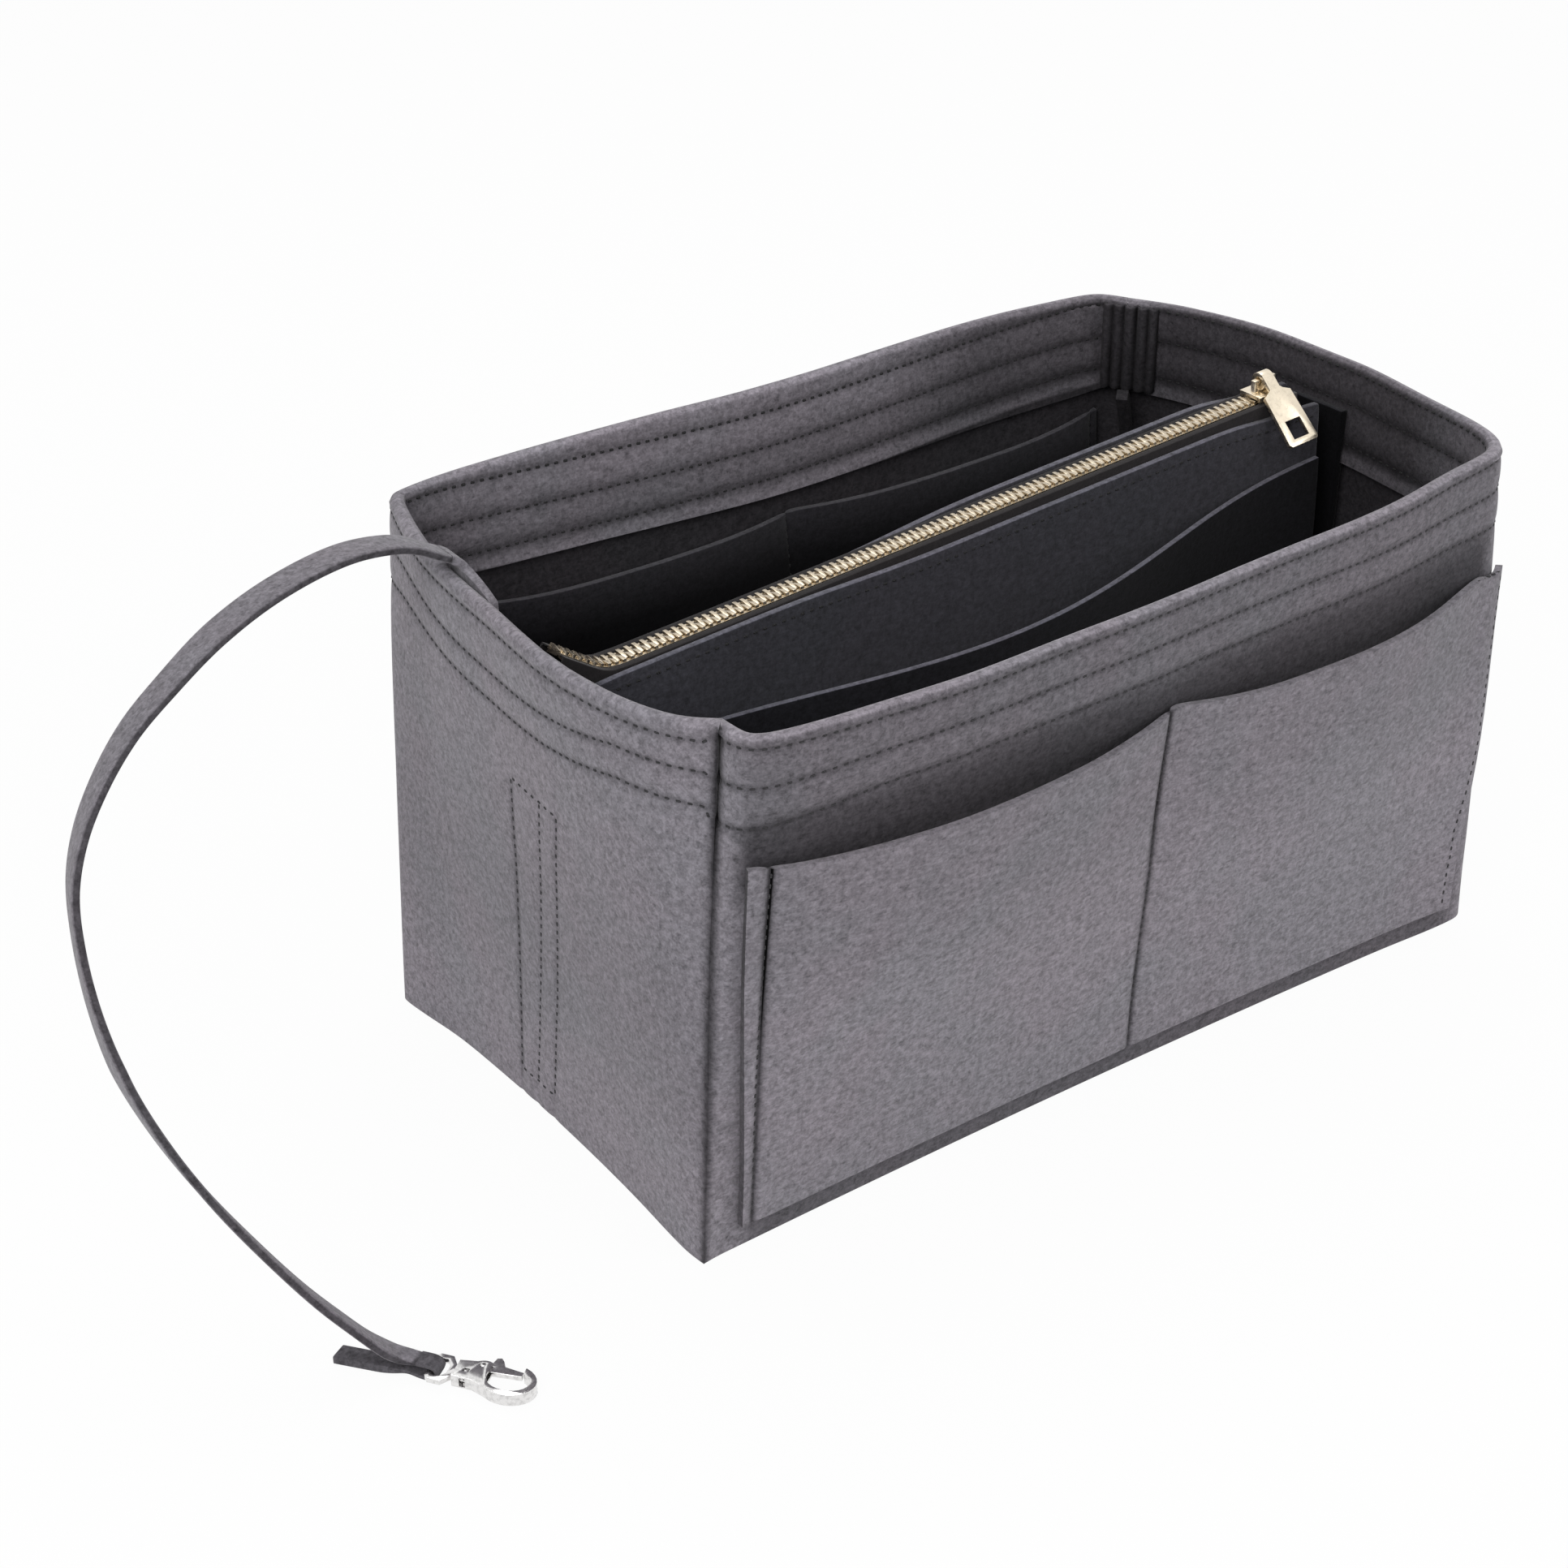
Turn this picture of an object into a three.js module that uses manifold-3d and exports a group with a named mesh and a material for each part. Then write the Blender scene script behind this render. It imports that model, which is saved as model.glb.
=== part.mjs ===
// Felt handbag organiser with a zipped inner pouch and a key strap.
// Millimetres, +Z up. +X runs along the organiser, and its front looks towards -Y.
import * as THREE from 'three';
import { mergeVertices } from 'three/addons/utils/BufferGeometryUtils.js';
import Module from 'manifold-3d';

// Driving dimensions, in millimetres unless the name says otherwise.
const baseLength = 290.5;
const baseMiddle = 2.25;
const baseWidth = 156;
const wallHeight = 160;
const felt = 2.3;
const fit = 0.3;
const clothGap = 0.5;
const cornerRadius = 7;
const foldRadius = 4.5;
const foldOut = 1.2;
const leanPower = 1.2;
const hemDepth = 34;
const hemRise = 5.5;
const endHollow = 3.5;
const frontHollow = 2.5;
const baseFelt = 2.4;
const seamReach = 9;
const seamFelt = 2;
const seamBelowRim = 4;

const pocketFelt = 2.2;
const pocketFoot = 8.3;
const pocketLeftMargin = 11.5;
const pocketRightMargin = 15;
const pocketEdge = 2;
const pocketWrap = 11.5;
const pocketWrapFrom = 25;
const pocketWrapTo = 80;
const cornerEase = 0.4;
const innerPocketMargin = 22;
const pocketGape = 6.2;
const outerMouth = { level: 121.7, atEnds: 2.5, atDivider: 4.2 };
const innerMouth = { level: 118, atEnds: 4, atDivider: 1.2 };
const mouthReach = 40;
const dividerX = 1.5;

const hookTape = 2;
const loopTape = 2;
const tapeWidth = 18;
const hookTapeFoot = 6;
const hookTapeTop = 105;
const tabWidth = 21;
const tabFelt = 2.2;
const tabHeight = 104;
const tabDrop = 9;
const loopMargin = 1;

const pouchHeight = 131;
const pouchTilt = THREE.MathUtils.degToRad(4.5);
const zipHeight = 144.4;
const pouchFelt = 2.2;
const pouchHalfMouth = 6;
const pouchBulge = 3.6;
const pouchSeamGap = 0.2;
const pouchCorner = 12;
const pouchEndClose = 10;
const hemBelowZip = 1.6;
const slipDrop = 19.8;
const slipGape = 21.5;
const slipFelt = 2;
const slipMargin = 9;
const slipFootGap = 12;

const toothPitch = 2.5;
const toothThick = 1.1;
const toothHalfHeight = 1.3;
const toothTip = 1.7;
const toothTipHalf = 0.8;
const clampReach = 2.9;
const beadInner = 1.9;
const beadOuter = 3.1;
const beadHalf = 0.45;
const zipTapeThick = 0.8;
const zipTapeEdge = 3.4;
const zipTapeDrop = 8;
const zipTapePast = 9;
const zipFromEnd = 25.5;
const tailLength = 21;
const tailRise = THREE.MathUtils.degToRad(38);
const tailRadius = 14;

const sliderFromEnd = 22.5;
const sliderLength = 11;
const sliderHalfWidth = 4.3;
const sliderPlate = 1.1;
const sliderClear = 0.35;
const slotHalf = 0.75;
const postHalfWidth = 1.2;
const postLength = 3.4;
const postFromNose = 2;
const crownSpan = 8.4;
const crownBar = 1.5;
const crownHeight = 5.6;
const stopLength = 2.6;

const pullerThick = 1.3;
const pullerEye = 1.45;
const pullerNeck = 4;
const pullerNeckLength = 3.4;
const pullerShoulder = 10.2;
const pullerFoot = 11.4;
const pullerLength = 23;
const pullerWindow = 6;
const pullerFrame = 2;
const pullerDrop = THREE.MathUtils.degToRad(45);

const strapWidth = 10;
const strapFelt = 2.4;
const strapTip = 5;
const tongueFelt = 1.1;
const strapTail = 28;
const strapLift = 0.25;
const strapFootDepth = 14;
const strapFootWidth = 24.5;
const strapArch = 4;
const strapY = 29.5;

const claspThick = 3.4;
const claspAngle = THREE.MathUtils.degToRad(-54.3);
const claspX = -218.5;
const claspY = -76.4;
const claspHeight = 2.6;
const eyeBar = 1.5;
const eyeInnerWidth = 6.4;
const eyeInnerLength = 3.4;
const studRadius = 0.9;
const studLength = 3.4;
const studHead = 1.5;
const collarHalfWidth = 3;
const collarStart = 3.6;
const collarLength = 5.4;
const hookCentre = 17.6;
const hookHalfLength = 7.4;
const hookHalfWidth = 5.6;
const hookBar = 1.7;
const gateThick = 1.4;
const gatePinRadius = 0.7;
const gatePinU = 9.6;
const gatePinV = 3.1;
const pinFit = 0.1;
const gateTipU = 20.4;
const gateTipV = 4.4;
const gateBar = 1.5;
const thumbReach = 4.6;

const wasm = await Module();
wasm.setup();

const halfLength = baseLength / 2;
const halfWidth = baseWidth / 2;
const leftBase = baseMiddle - halfLength;
const rightBase = baseMiddle + halfLength;

// Geometry helpers: every solid is a closed skin with its faces pointing out.
const signedVolume = (points, faces) => faces.reduce((sum, [a, b, c]) => sum + new THREE.Vector3()
  .crossVectors(points[a], points[b]).dot(points[c]) / 6, 0);

function closedSkin(points, faces) {
  const vectors = points.map((p) => (p.isVector3 ? p : new THREE.Vector3(...p)));
  const outward = signedVolume(vectors, faces) > 0 ? faces : faces.map(([a, b, c]) => [a, c, b]);
  const geometry = new THREE.BufferGeometry();
  geometry.setAttribute('position', new THREE.Float32BufferAttribute(vectors.flatMap((p) => p.toArray()), 3));
  geometry.setIndex(outward.flat());
  return geometry;
}

// A loft through closed sections of one point count; outline is the flat shape that caps both ends.
function loft(sections, outline) {
  const count = outline.length;
  const points = sections.flat();
  const faces = [];
  for (let i = 0; i + 1 < sections.length; i += 1) {
    for (let j = 0; j < count; j += 1) {
      const a = i * count + j;
      const b = i * count + (j + 1) % count;
      faces.push([a, b, b + count], [a, b + count, a + count]);
    }
  }
  const flat = outline.map(([x, y]) => new THREE.Vector2(x, y));
  const caps = THREE.ShapeUtils.triangulateShape(flat, []);
  const turned = THREE.ShapeUtils.area(flat) > 0;
  const last = (sections.length - 1) * count;
  caps.forEach(([a, b, c]) => {
    faces.push(turned ? [a, c, b] : [a, b, c]);
    faces.push(turned ? [last + a, last + b, last + c] : [last + a, last + c, last + b]);
  });
  return closedSkin(points, faces);
}

// A sheet of cloth: near and far give its two faces at (column, row), both from 0 to 1.
function sheet(columns, rows, near, far) {
  const points = [];
  const at = (side, i, j) => side * (columns + 1) * (rows + 1) + i * (rows + 1) + j;
  [near, far].forEach((face) => {
    for (let i = 0; i <= columns; i += 1) {
      for (let j = 0; j <= rows; j += 1) points.push(face(i / columns, j / rows));
    }
  });
  const faces = [];
  const quad = (a, b, c, d) => faces.push([a, b, c], [a, c, d]);
  for (let i = 0; i < columns; i += 1) {
    for (let j = 0; j < rows; j += 1) {
      quad(at(0, i, j), at(0, i + 1, j), at(0, i + 1, j + 1), at(0, i, j + 1));
      quad(at(1, i, j), at(1, i, j + 1), at(1, i + 1, j + 1), at(1, i + 1, j));
    }
  }
  for (let i = 0; i < columns; i += 1) {
    quad(at(0, i, 0), at(1, i, 0), at(1, i + 1, 0), at(0, i + 1, 0));
    quad(at(0, i, rows), at(0, i + 1, rows), at(1, i + 1, rows), at(1, i, rows));
  }
  for (let j = 0; j < rows; j += 1) {
    quad(at(0, 0, j), at(0, 0, j + 1), at(1, 0, j + 1), at(1, 0, j));
    quad(at(0, columns, j), at(1, columns, j), at(1, columns, j + 1), at(0, columns, j + 1));
  }
  return closedSkin(points, faces);
}

function toManifold(source) {
  const geometry = source.clone();
  geometry.deleteAttribute('normal');
  geometry.deleteAttribute('uv');
  const merged = mergeVertices(geometry, 1e-4);
  return new wasm.Manifold(new wasm.Mesh({
    numProp: 3,
    vertProperties: new Float32Array(merged.attributes.position.array),
    triVerts: new Uint32Array(merged.index.array),
  }));
}

function fromManifold(solid) {
  const mesh = solid.getMesh();
  const geometry = new THREE.BufferGeometry();
  geometry.setAttribute('position', new THREE.BufferAttribute(new Float32Array(mesh.vertProperties), 3));
  geometry.setIndex(Array.from(mesh.triVerts));
  return geometry;
}

const join = (...geometries) => fromManifold(geometries.map(toManifold).reduce((a, b) => a.add(b)));
const cut = (body, ...tools) => fromManifold(
  tools.map(toManifold).reduce((a, b) => a.subtract(b), toManifold(body)));
const moved = (geometry, x, y, z) => geometry.clone().translate(x, y, z);
const block = (x0, x1, y0, y1, z0, z1) => moved(
  new THREE.BoxGeometry(x1 - x0, y1 - y0, z1 - z0), (x0 + x1) / 2, (y0 + y1) / 2, (z0 + z1) / 2);

const shapeOf = (points) => new THREE.Shape(points.map(([x, y]) => new THREE.Vector2(x, y)));
const plate = (shape, low, high, curveSegments = 8) => moved(
  new THREE.ExtrudeGeometry(shape, { depth: high - low, bevelEnabled: false, curveSegments }), 0, 0, low);
const disc = (radius) => new THREE.Shape().absarc(0, 0, radius, 0, 2 * Math.PI, false);
// Turns a plate in the XY plane so that its outline lies in the YZ plane and its thickness along X.
const alongX = (geometry) => geometry.clone().applyMatrix4(new THREE.Matrix4().makeBasis(
  new THREE.Vector3(0, 1, 0), new THREE.Vector3(0, 0, 1), new THREE.Vector3(1, 0, 0)));

const felts = {
  outer: new THREE.MeshStandardMaterial({ color: 0x76737a, roughness: 0.95, metalness: 0 }),
  inner: new THREE.MeshStandardMaterial({ color: 0x5d5a60, roughness: 0.95, metalness: 0 }),
  pouch: new THREE.MeshStandardMaterial({ color: 0x56545b, roughness: 0.95, metalness: 0 }),
};
const nylon = new THREE.MeshStandardMaterial({ color: 0x232226, roughness: 0.8, metalness: 0 });
const zipCloth = new THREE.MeshStandardMaterial({ color: 0x2c2a2e, roughness: 0.85, metalness: 0 });
const gold = new THREE.MeshStandardMaterial({ color: 0xe3c48c, roughness: 0.3, metalness: 1 });
const nickel = new THREE.MeshStandardMaterial({ color: 0xb9b7b4, roughness: 0.28, metalness: 1 });

const organiser = new THREE.Group();
function add(name, geometry, material, parent = organiser) {
  const mesh = new THREE.Mesh(geometry, material.clone());
  mesh.name = name;
  parent.add(mesh);
  return mesh;
}

// The felt wall leans and swells from the straight base to the curved rim. Each knot gives a point
// of the base outline and how far the rim stands away from it.
const hollow = (depth, share) => depth * (1 - share ** 2);
const backKnot = (share, out) => [baseMiddle + share * halfLength, halfWidth, 0, out];
const frontKnot = (share, out, along = 0) => [
  baseMiddle + share * halfLength, -halfWidth + hollow(frontHollow, share), along, -out];
const leftKnot = (share, out) => [leftBase + hollow(endHollow, share), share * halfWidth, -out, 0];
const rightKnot = (share, out) => [rightBase, share * halfWidth, out, 0];
const turnIn = 1 - Math.SQRT1_2;

const backRightSeam = [rightBase - 1.5, halfWidth, -12.5, -0.5];
const frontLeftSeam = [leftBase + 1.3, -halfWidth - 0.5, 5.2, -4];

const backAndLeft = [
  backRightSeam,
  backKnot(0.86, 8.3), backKnot(0.753, 11.1), backKnot(0.546, 13.2), backKnot(0.322, 11.3),
  backKnot(0.088, 8.5), backKnot(-0.119, 7.9), backKnot(-0.31, 8.9), backKnot(-0.5, 9.1),
  backKnot(-0.75, 8.3),
  [leftBase - foldOut + foldRadius, halfWidth + foldOut, 8.3, 3.2],
  [leftBase - foldOut + foldRadius * turnIn, halfWidth + foldOut - foldRadius * turnIn, 8.2, 0.8],
  [leftBase - foldOut, halfWidth + foldOut - foldRadius, 7.2, -2],
  leftKnot(0.66, 2.2), leftKnot(0.38, 7.4), leftKnot(0.05, 9.9), leftKnot(-0.3, 12.4), leftKnot(-0.62, 10.7),
  leftKnot(-0.9, 3.3),
  frontLeftSeam,
];
const frontAndRight = [
  frontLeftSeam,
  frontKnot(-0.965, 11.7, 1.9), frontKnot(-0.9, 17.5, -0.5), frontKnot(-0.7, 21), frontKnot(-0.5, 22.9),
  frontKnot(-0.3, 21.9), frontKnot(-0.1, 21.3), frontKnot(0.1, 19), frontKnot(0.32, 16.4),
  frontKnot(0.55, 13.4), frontKnot(0.77, 6.3),
  [rightBase - cornerRadius, -halfWidth, -9.5, -2.5],
  [rightBase - cornerRadius * turnIn, -halfWidth + cornerRadius * turnIn, -6.9, 0.4],
  [rightBase, -halfWidth + cornerRadius, -4, 5],
  rightKnot(-0.68, -1.4), rightKnot(-0.44, 0.6), rightKnot(-0.18, 4), rightKnot(0.1, 3.5),
  rightKnot(0.36, 3.3), rightKnot(0.6, -0.7), rightKnot(0.8, -6.2),
  backRightSeam,
];

const smoothCurve = (points) => new THREE.CatmullRomCurve3(points, false, 'centripetal');
function wallPath(knots) {
  const base = smoothCurve(knots.map(([x, y]) => new THREE.Vector3(x, y, 0)));
  const rim = smoothCurve(knots.map(([x, y, outX, outY]) => new THREE.Vector3(x + outX, y + outY, 0)));
  const last = knots.length - 1;
  const lean = (z) => Math.max(z / wallHeight, 0) ** leanPower;
  const outside = (t, z) => base.getPoint(t).lerp(rim.getPoint(t), lean(z)).setZ(z);
  const inward = (t, z) => {
    const step = 0.002;
    const before = outside(Math.max(t - step, 0), z);
    const after = outside(Math.min(t + step, 1), z);
    const run = after.sub(before).normalize();
    return new THREE.Vector3(-run.y, run.x, 0);
  };
  const offset = (t, z, depth) => outside(t, z).addScaledVector(inward(t, z), depth);
  return { last, outside, inward, offset };
}
const wallA = wallPath(backAndLeft);
const wallB = wallPath(frontAndRight);

// The path parameter at which the base outline passes a given coordinate, between two bounds.
function paramAt(wall, axis, value, low, high) {
  const rising = wall.outside(high, 0)[axis] > wall.outside(low, 0)[axis];
  let [a, b] = [low, high];
  for (let i = 0; i < 40; i += 1) {
    const middle = (a + b) / 2;
    if ((wall.outside(middle, 0)[axis] < value) === rising) a = middle;
    else b = middle;
  }
  return (a + b) / 2;
}
const backCornerStart = 10 / wallA.last;
const leftStart = 12 / wallA.last;
const frontCornerStart = 11 / wallB.last;
const rightStart = 13 / wallB.last;
const backAtX = (x) => paramAt(wallA, 'x', x, 0, backCornerStart);
const leftAtY = (y) => paramAt(wallA, 'y', y, leftStart, 1);
const frontAtX = (x) => paramAt(wallB, 'x', x, 0, frontCornerStart);
const rightAtY = (y) => paramAt(wallB, 'y', y, rightStart, 1);

// One felt wall: the felt comes up the outside, rolls over the rim and ends as a sewn hem inside.
function feltWall(wall, hemAt, stations) {
  const hemFace = 2 * felt;
  const third = wallHeight / 3;
  const round = felt * 0.3;
  const rows = (hem) => [
    [0, 0], [0, third], [0, 2 * third], [0, wallHeight - felt], [round, wallHeight - round],
    [felt, wallHeight], [hemFace - round, wallHeight - round], [hemFace, wallHeight - felt],
    [hemFace, wallHeight - hem], [felt, wallHeight - hem], [felt, 2 * third], [felt, third], [felt, 0],
  ];
  const sections = stations.map((t) => rows(hemAt(t)).map(([depth, z]) => {
    if (t > 0 && t < 1) return wall.offset(t, z, depth);
    // Both walls are cut along the same diagonal at a corner seam, half the fit short of it.
    const corner = wall.outside(t, z);
    const inner = new THREE.Vector3(-Math.sign(corner.x), -Math.sign(corner.y), 0);
    const back = wall.outside(t === 0 ? 0.01 : 0.99, z).sub(corner).normalize();
    return corner.addScaledVector(inner, depth).addScaledVector(back, fit / Math.SQRT2);
  }));
  return loft(sections, rows(hemDepth));
}

const evenly = (low, high, steps) => Array.from({ length: steps + 1 },
  (_, i) => low + (high - low) * i / steps);
const humpOver = (low, high, t) => Math.max(0, 1 - ((2 * t - low - high) / (high - low)) ** 2);
const hemBack = (t) => hemDepth - hemRise * (t < backCornerStart ? 1 - humpOver(0, backCornerStart, t) : 1);
const stationsA = [...evenly(0, backCornerStart, 18), ...evenly(backCornerStart, leftStart, 5).slice(1, -1),
  ...evenly(leftStart, 1, 14)];
const stationsB = [0, ...evenly(1 / wallB.last, frontCornerStart, 20),
  ...evenly(frontCornerStart, rightStart, 5).slice(1, -1), ...evenly(rightStart, 1, 13)];
const backLeftWall = add('back_left_wall', feltWall(wallA, hemBack, stationsA), felts.outer);
const frontRightWall = add('front_right_wall', feltWall(wallB, () => hemDepth - hemRise / 2, stationsB),
  felts.outer);

// The base is cut to the inside of the walls.
function basePanel() {
  const inset = felt + 2 * fit;
  const fromSeam = 0.05;
  const ring = (wall, steps) => evenly(fromSeam, 1 - fromSeam, steps).map((t) => wall.offset(t, 0, inset));
  const corner = ([x, y]) => new THREE.Vector3(x - Math.sign(x) * inset, y - Math.sign(y) * inset, 0);
  const outline = [corner(backRightSeam), ...ring(wallA, 32), corner(frontLeftSeam), ...ring(wallB, 32)];
  return plate(shapeOf(outline.map((p) => [p.x, p.y])), 0, baseFelt);
}
add('base_panel', basePanel(), felts.inner);

// The seam allowances of the two walls stand into the corner, face to face and sewn together.
function seamAllowance(knot) {
  const [x, y, outX, outY] = knot;
  const inner = new THREE.Vector3(-Math.sign(x), -Math.sign(y), 0).normalize();
  const across = new THREE.Vector3(-inner.y, inner.x, 0);
  const start = (2 * felt) * Math.SQRT2 + seamFelt;
  const outline = [[start, -seamFelt], [start + seamReach, -seamFelt], [start + seamReach, seamFelt],
    [start, seamFelt]];
  const sections = evenly(baseFelt + fit, wallHeight - seamBelowRim, 4).map((z) => {
    const lean = (z / wallHeight) ** leanPower;
    const corner = new THREE.Vector3(x + outX * lean, y + outY * lean, z);
    return outline.map(([u, v]) => corner.clone().addScaledVector(inner, u).addScaledVector(across, v));
  });
  return loft(sections, outline);
}
add('back_right_seam', seamAllowance(backRightSeam), felts.outer);
add('front_left_seam', seamAllowance(frontLeftSeam), felts.outer);

const smooth = (v) => v * v * (3 - 2 * v);
const ramp = (low, high, v) => smooth(Math.min(Math.max((v - low) / (high - low), 0), 1));
// A slip pocket follows its wall, held at both sides, the foot and the divider, and gapes between. Its
// mouth sinks between the places where stitches hold it. A wrapped one goes on round its right corner.
function slipPocket({ wall, at, low, high, foot, mouth, side, wrap = 0 }) {
  const rise = (x, from, height) => height * Math.max(0, 1 - Math.abs(x - from) / mouthReach) ** 2;
  const top = (x) => mouth.level + rise(x, low, mouth.atEnds) + rise(x, high, mouth.atEnds)
    + rise(x, dividerX, mouth.atDivider);
  const columns = 22;
  const turns = wrap > 0 ? 4 : 0;
  const face = (extra) => (u, v) => {
    const along = Math.min(u * (columns + turns) / columns, 1);
    const past = Math.max(u * (columns + turns) - columns, 0) / Math.max(turns, 1);
    const [from, to, share] = along < 0.5 ? [low, dividerX, 2 * along] : [dividerX, high, 2 * along - 1];
    const x = from + (to - from) * share;
    const z = foot + (top(x) - foot) * v;
    const away = clothGap + pocketGape * humpOver(from, to, x) * smooth(v) + cornerEase * past + extra;
    const round = past * (pocketEdge + wrap * ramp(pocketWrapFrom, pocketWrapTo, z));
    return wall.offset(at(x + round), z, side > 0 ? felt + away : -away);
  };
  return sheet(columns + turns, 4, face(0), face(pocketFelt));
}
const pocketLow = leftBase + pocketLeftMargin;
const pocketHigh = rightBase - pocketRightMargin;
const shortHigh = rightBase - innerPocketMargin;
// Past the front's own stretch, x is counted on along the corner's arc.
const cornerX = rightBase - cornerRadius;
const cornerArc = cornerRadius * Math.PI / 4;
const frontAndCorner = (x) => (x < cornerX ? frontAtX(x)
  : frontCornerStart + (x - cornerX) / cornerArc / wallB.last);
const frontOuterPocket = add('front_outer_pocket', slipPocket({
  wall: wallB, at: frontAndCorner, low: pocketLow, high: pocketHigh, foot: pocketFoot, side: -1,
  mouth: outerMouth, wrap: pocketWrap,
}), felts.outer);
const backOuterPocket = add('back_outer_pocket', slipPocket({
  wall: wallA, at: backAtX, low: pocketLow, high: shortHigh, foot: pocketFoot, side: -1, mouth: outerMouth,
}), felts.outer);
const innerPocket = (wall, at) => slipPocket({
  wall, at, low: leftBase + innerPocketMargin, high: shortHigh, foot: baseFelt + fit, side: 1,
  mouth: innerMouth,
});
add('back_inner_pocket', innerPocket(wallA, backAtX), felts.inner);
add('front_inner_pocket', innerPocket(wallB, frontAtX), felts.inner);

// Strips on the end walls. A strip lies parallel to its wall, between two depths.
function endStrip(wall, at, width, low, high, near, far, rows = 4) {
  const face = (depth) => (u, v) => wall.offset(at((u - 0.5) * width), low + (high - low) * v, depth);
  return sheet(3, rows, face(near), face(far));
}
const hookNear = felt + fit;
const hookFar = hookNear + hookTape;
const loopNear = 2 * felt + fit;
const loopFar = loopNear + loopTape;
const tabNear = loopFar + fit;
const tabFar = tabNear + tabFelt;
add('left_hook_strip', endStrip(wallA, leftAtY, tapeWidth, hookTapeFoot, hookTapeTop, hookNear, hookFar),
  nylon);
add('right_hook_strip', endStrip(wallB, rightAtY, tapeWidth, hookTapeFoot, hookTapeTop, hookNear, hookFar),
  nylon);

// The pouch hangs between the two end walls, tilted: its right end is pressed on higher.
const slope = Math.tan(pouchTilt);
const pouch = new THREE.Group();
organiser.add(pouch);
const leftEnd = (z) => wallA.outside(leftAtY(0), z).x + tabFar + fit;
const rightEnd = (z) => wallB.outside(rightAtY(0), z).x - tabFar - fit;
const pouchHalf = (rightEnd(zipHeight) - leftEnd(zipHeight)) / 2;
const zipLeft = leftEnd(zipHeight) + zipFromEnd;
const sliderX = rightEnd(zipHeight) - sliderFromEnd;
const pouchPoint = (u, drop, y) => {
  const guess = zipHeight - drop + slope * (leftEnd(zipHeight) + 2 * pouchHalf * u);
  const x = leftEnd(guess) + (rightEnd(guess) - leftEnd(guess)) * u;
  return new THREE.Vector3(x, y, zipHeight - drop + slope * x);
};
const cornerDrop = (u) => {
  const fromEnd = 2 * pouchHalf * Math.min(u, 1 - u);
  const inside = Math.max(pouchCorner - fromEnd, 0);
  return pouchCorner - Math.sqrt(pouchCorner ** 2 - inside ** 2);
};
const endClose = (u) => {
  const fromEnd = 2 * pouchHalf * Math.min(u, 1 - u);
  const inside = Math.max(pouchEndClose - fromEnd, 0) / pouchEndClose;
  return Math.sqrt(1 - inside ** 2);
};
function pouchHalfDepth(u, drop) {
  const v = Math.min(drop / pouchHeight, 1);
  const open = pouchHalfMouth * (1 - v ** 3) + pouchBulge * Math.sin(Math.PI * v);
  return pouchSeamGap + (open - pouchSeamGap) * endClose(u) * (1 - v ** 12);
}
const endColumns = (u) => 0.5 - 0.5 * Math.cos(Math.PI * u);
const bunched = (u) => 0.45 * u + 0.55 * endColumns(u);
function pouchPanel(side) {
  const face = (extra) => (column, row) => {
    const u = bunched(column);
    const top = hemBelowZip + cornerDrop(u);
    const drop = top + (pouchHeight - top) * row;
    return pouchPoint(u, drop, side * (pouchHalfDepth(u, drop) + extra));
  };
  return sheet(20, 5, face(0), face(pouchFelt));
}
add('pouch_front_panel', pouchPanel(-1), felts.pouch, pouch);
add('pouch_back_panel', pouchPanel(1), felts.pouch, pouch);

function pouchSlipPocket() {
  const side = slipMargin / (2 * pouchHalf);
  const face = (extra) => (column, row) => {
    const u = side + (1 - 2 * side) * column;
    const hump = humpOver(0, 1, column);
    const drop = slipDrop + (pouchHeight - slipFootGap - slipDrop) * row;
    const away = pouchFelt + 2 * fit + slipGape * hump ** 2.6 * smooth(1 - row);
    return pouchPoint(u, drop, -(pouchHalfDepth(u, drop) + away + extra));
  };
  return sheet(20, 5, face(0), face(slipFelt));
}
add('pouch_slip_pocket', pouchSlipPocket(), felts.pouch, pouch);

// Felt tabs on the pouch ends carry the loop strips that press onto the hook strips of the walls.
const tabTopAt = (x) => zipHeight + slope * x - tabDrop;
const leftTabTop = tabTopAt(leftEnd(zipHeight));
const rightTabTop = tabTopAt(rightEnd(zipHeight));
add('left_tab', endStrip(wallA, leftAtY, tabWidth, leftTabTop - tabHeight, leftTabTop, tabNear, tabFar),
  felts.pouch, pouch);
add('right_tab', endStrip(wallB, rightAtY, tabWidth, rightTabTop - tabHeight, rightTabTop, tabNear, tabFar),
  felts.pouch, pouch);
const loopStrip = (wall, at, tabTop) => endStrip(wall, at, tapeWidth, tabTop - tabHeight + loopMargin,
  tabTop - loopMargin, loopNear, loopFar);
add('left_loop_strip', loopStrip(wallA, leftAtY, leftTabTop), nylon, pouch);
add('right_loop_strip', loopStrip(wallB, rightAtY, rightTabTop), nylon, pouch);

// The zip runs in its own tilted frame: x along it, y across it, z out of the pouch.
const zip = new THREE.Group();
zip.position.set(0, 0, zipHeight);
zip.rotation.y = -pouchTilt;
pouch.add(zip);
const postStart = sliderX + sliderLength / 2 - postFromNose - postLength;
const teethEnd = postStart - fit;
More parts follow.
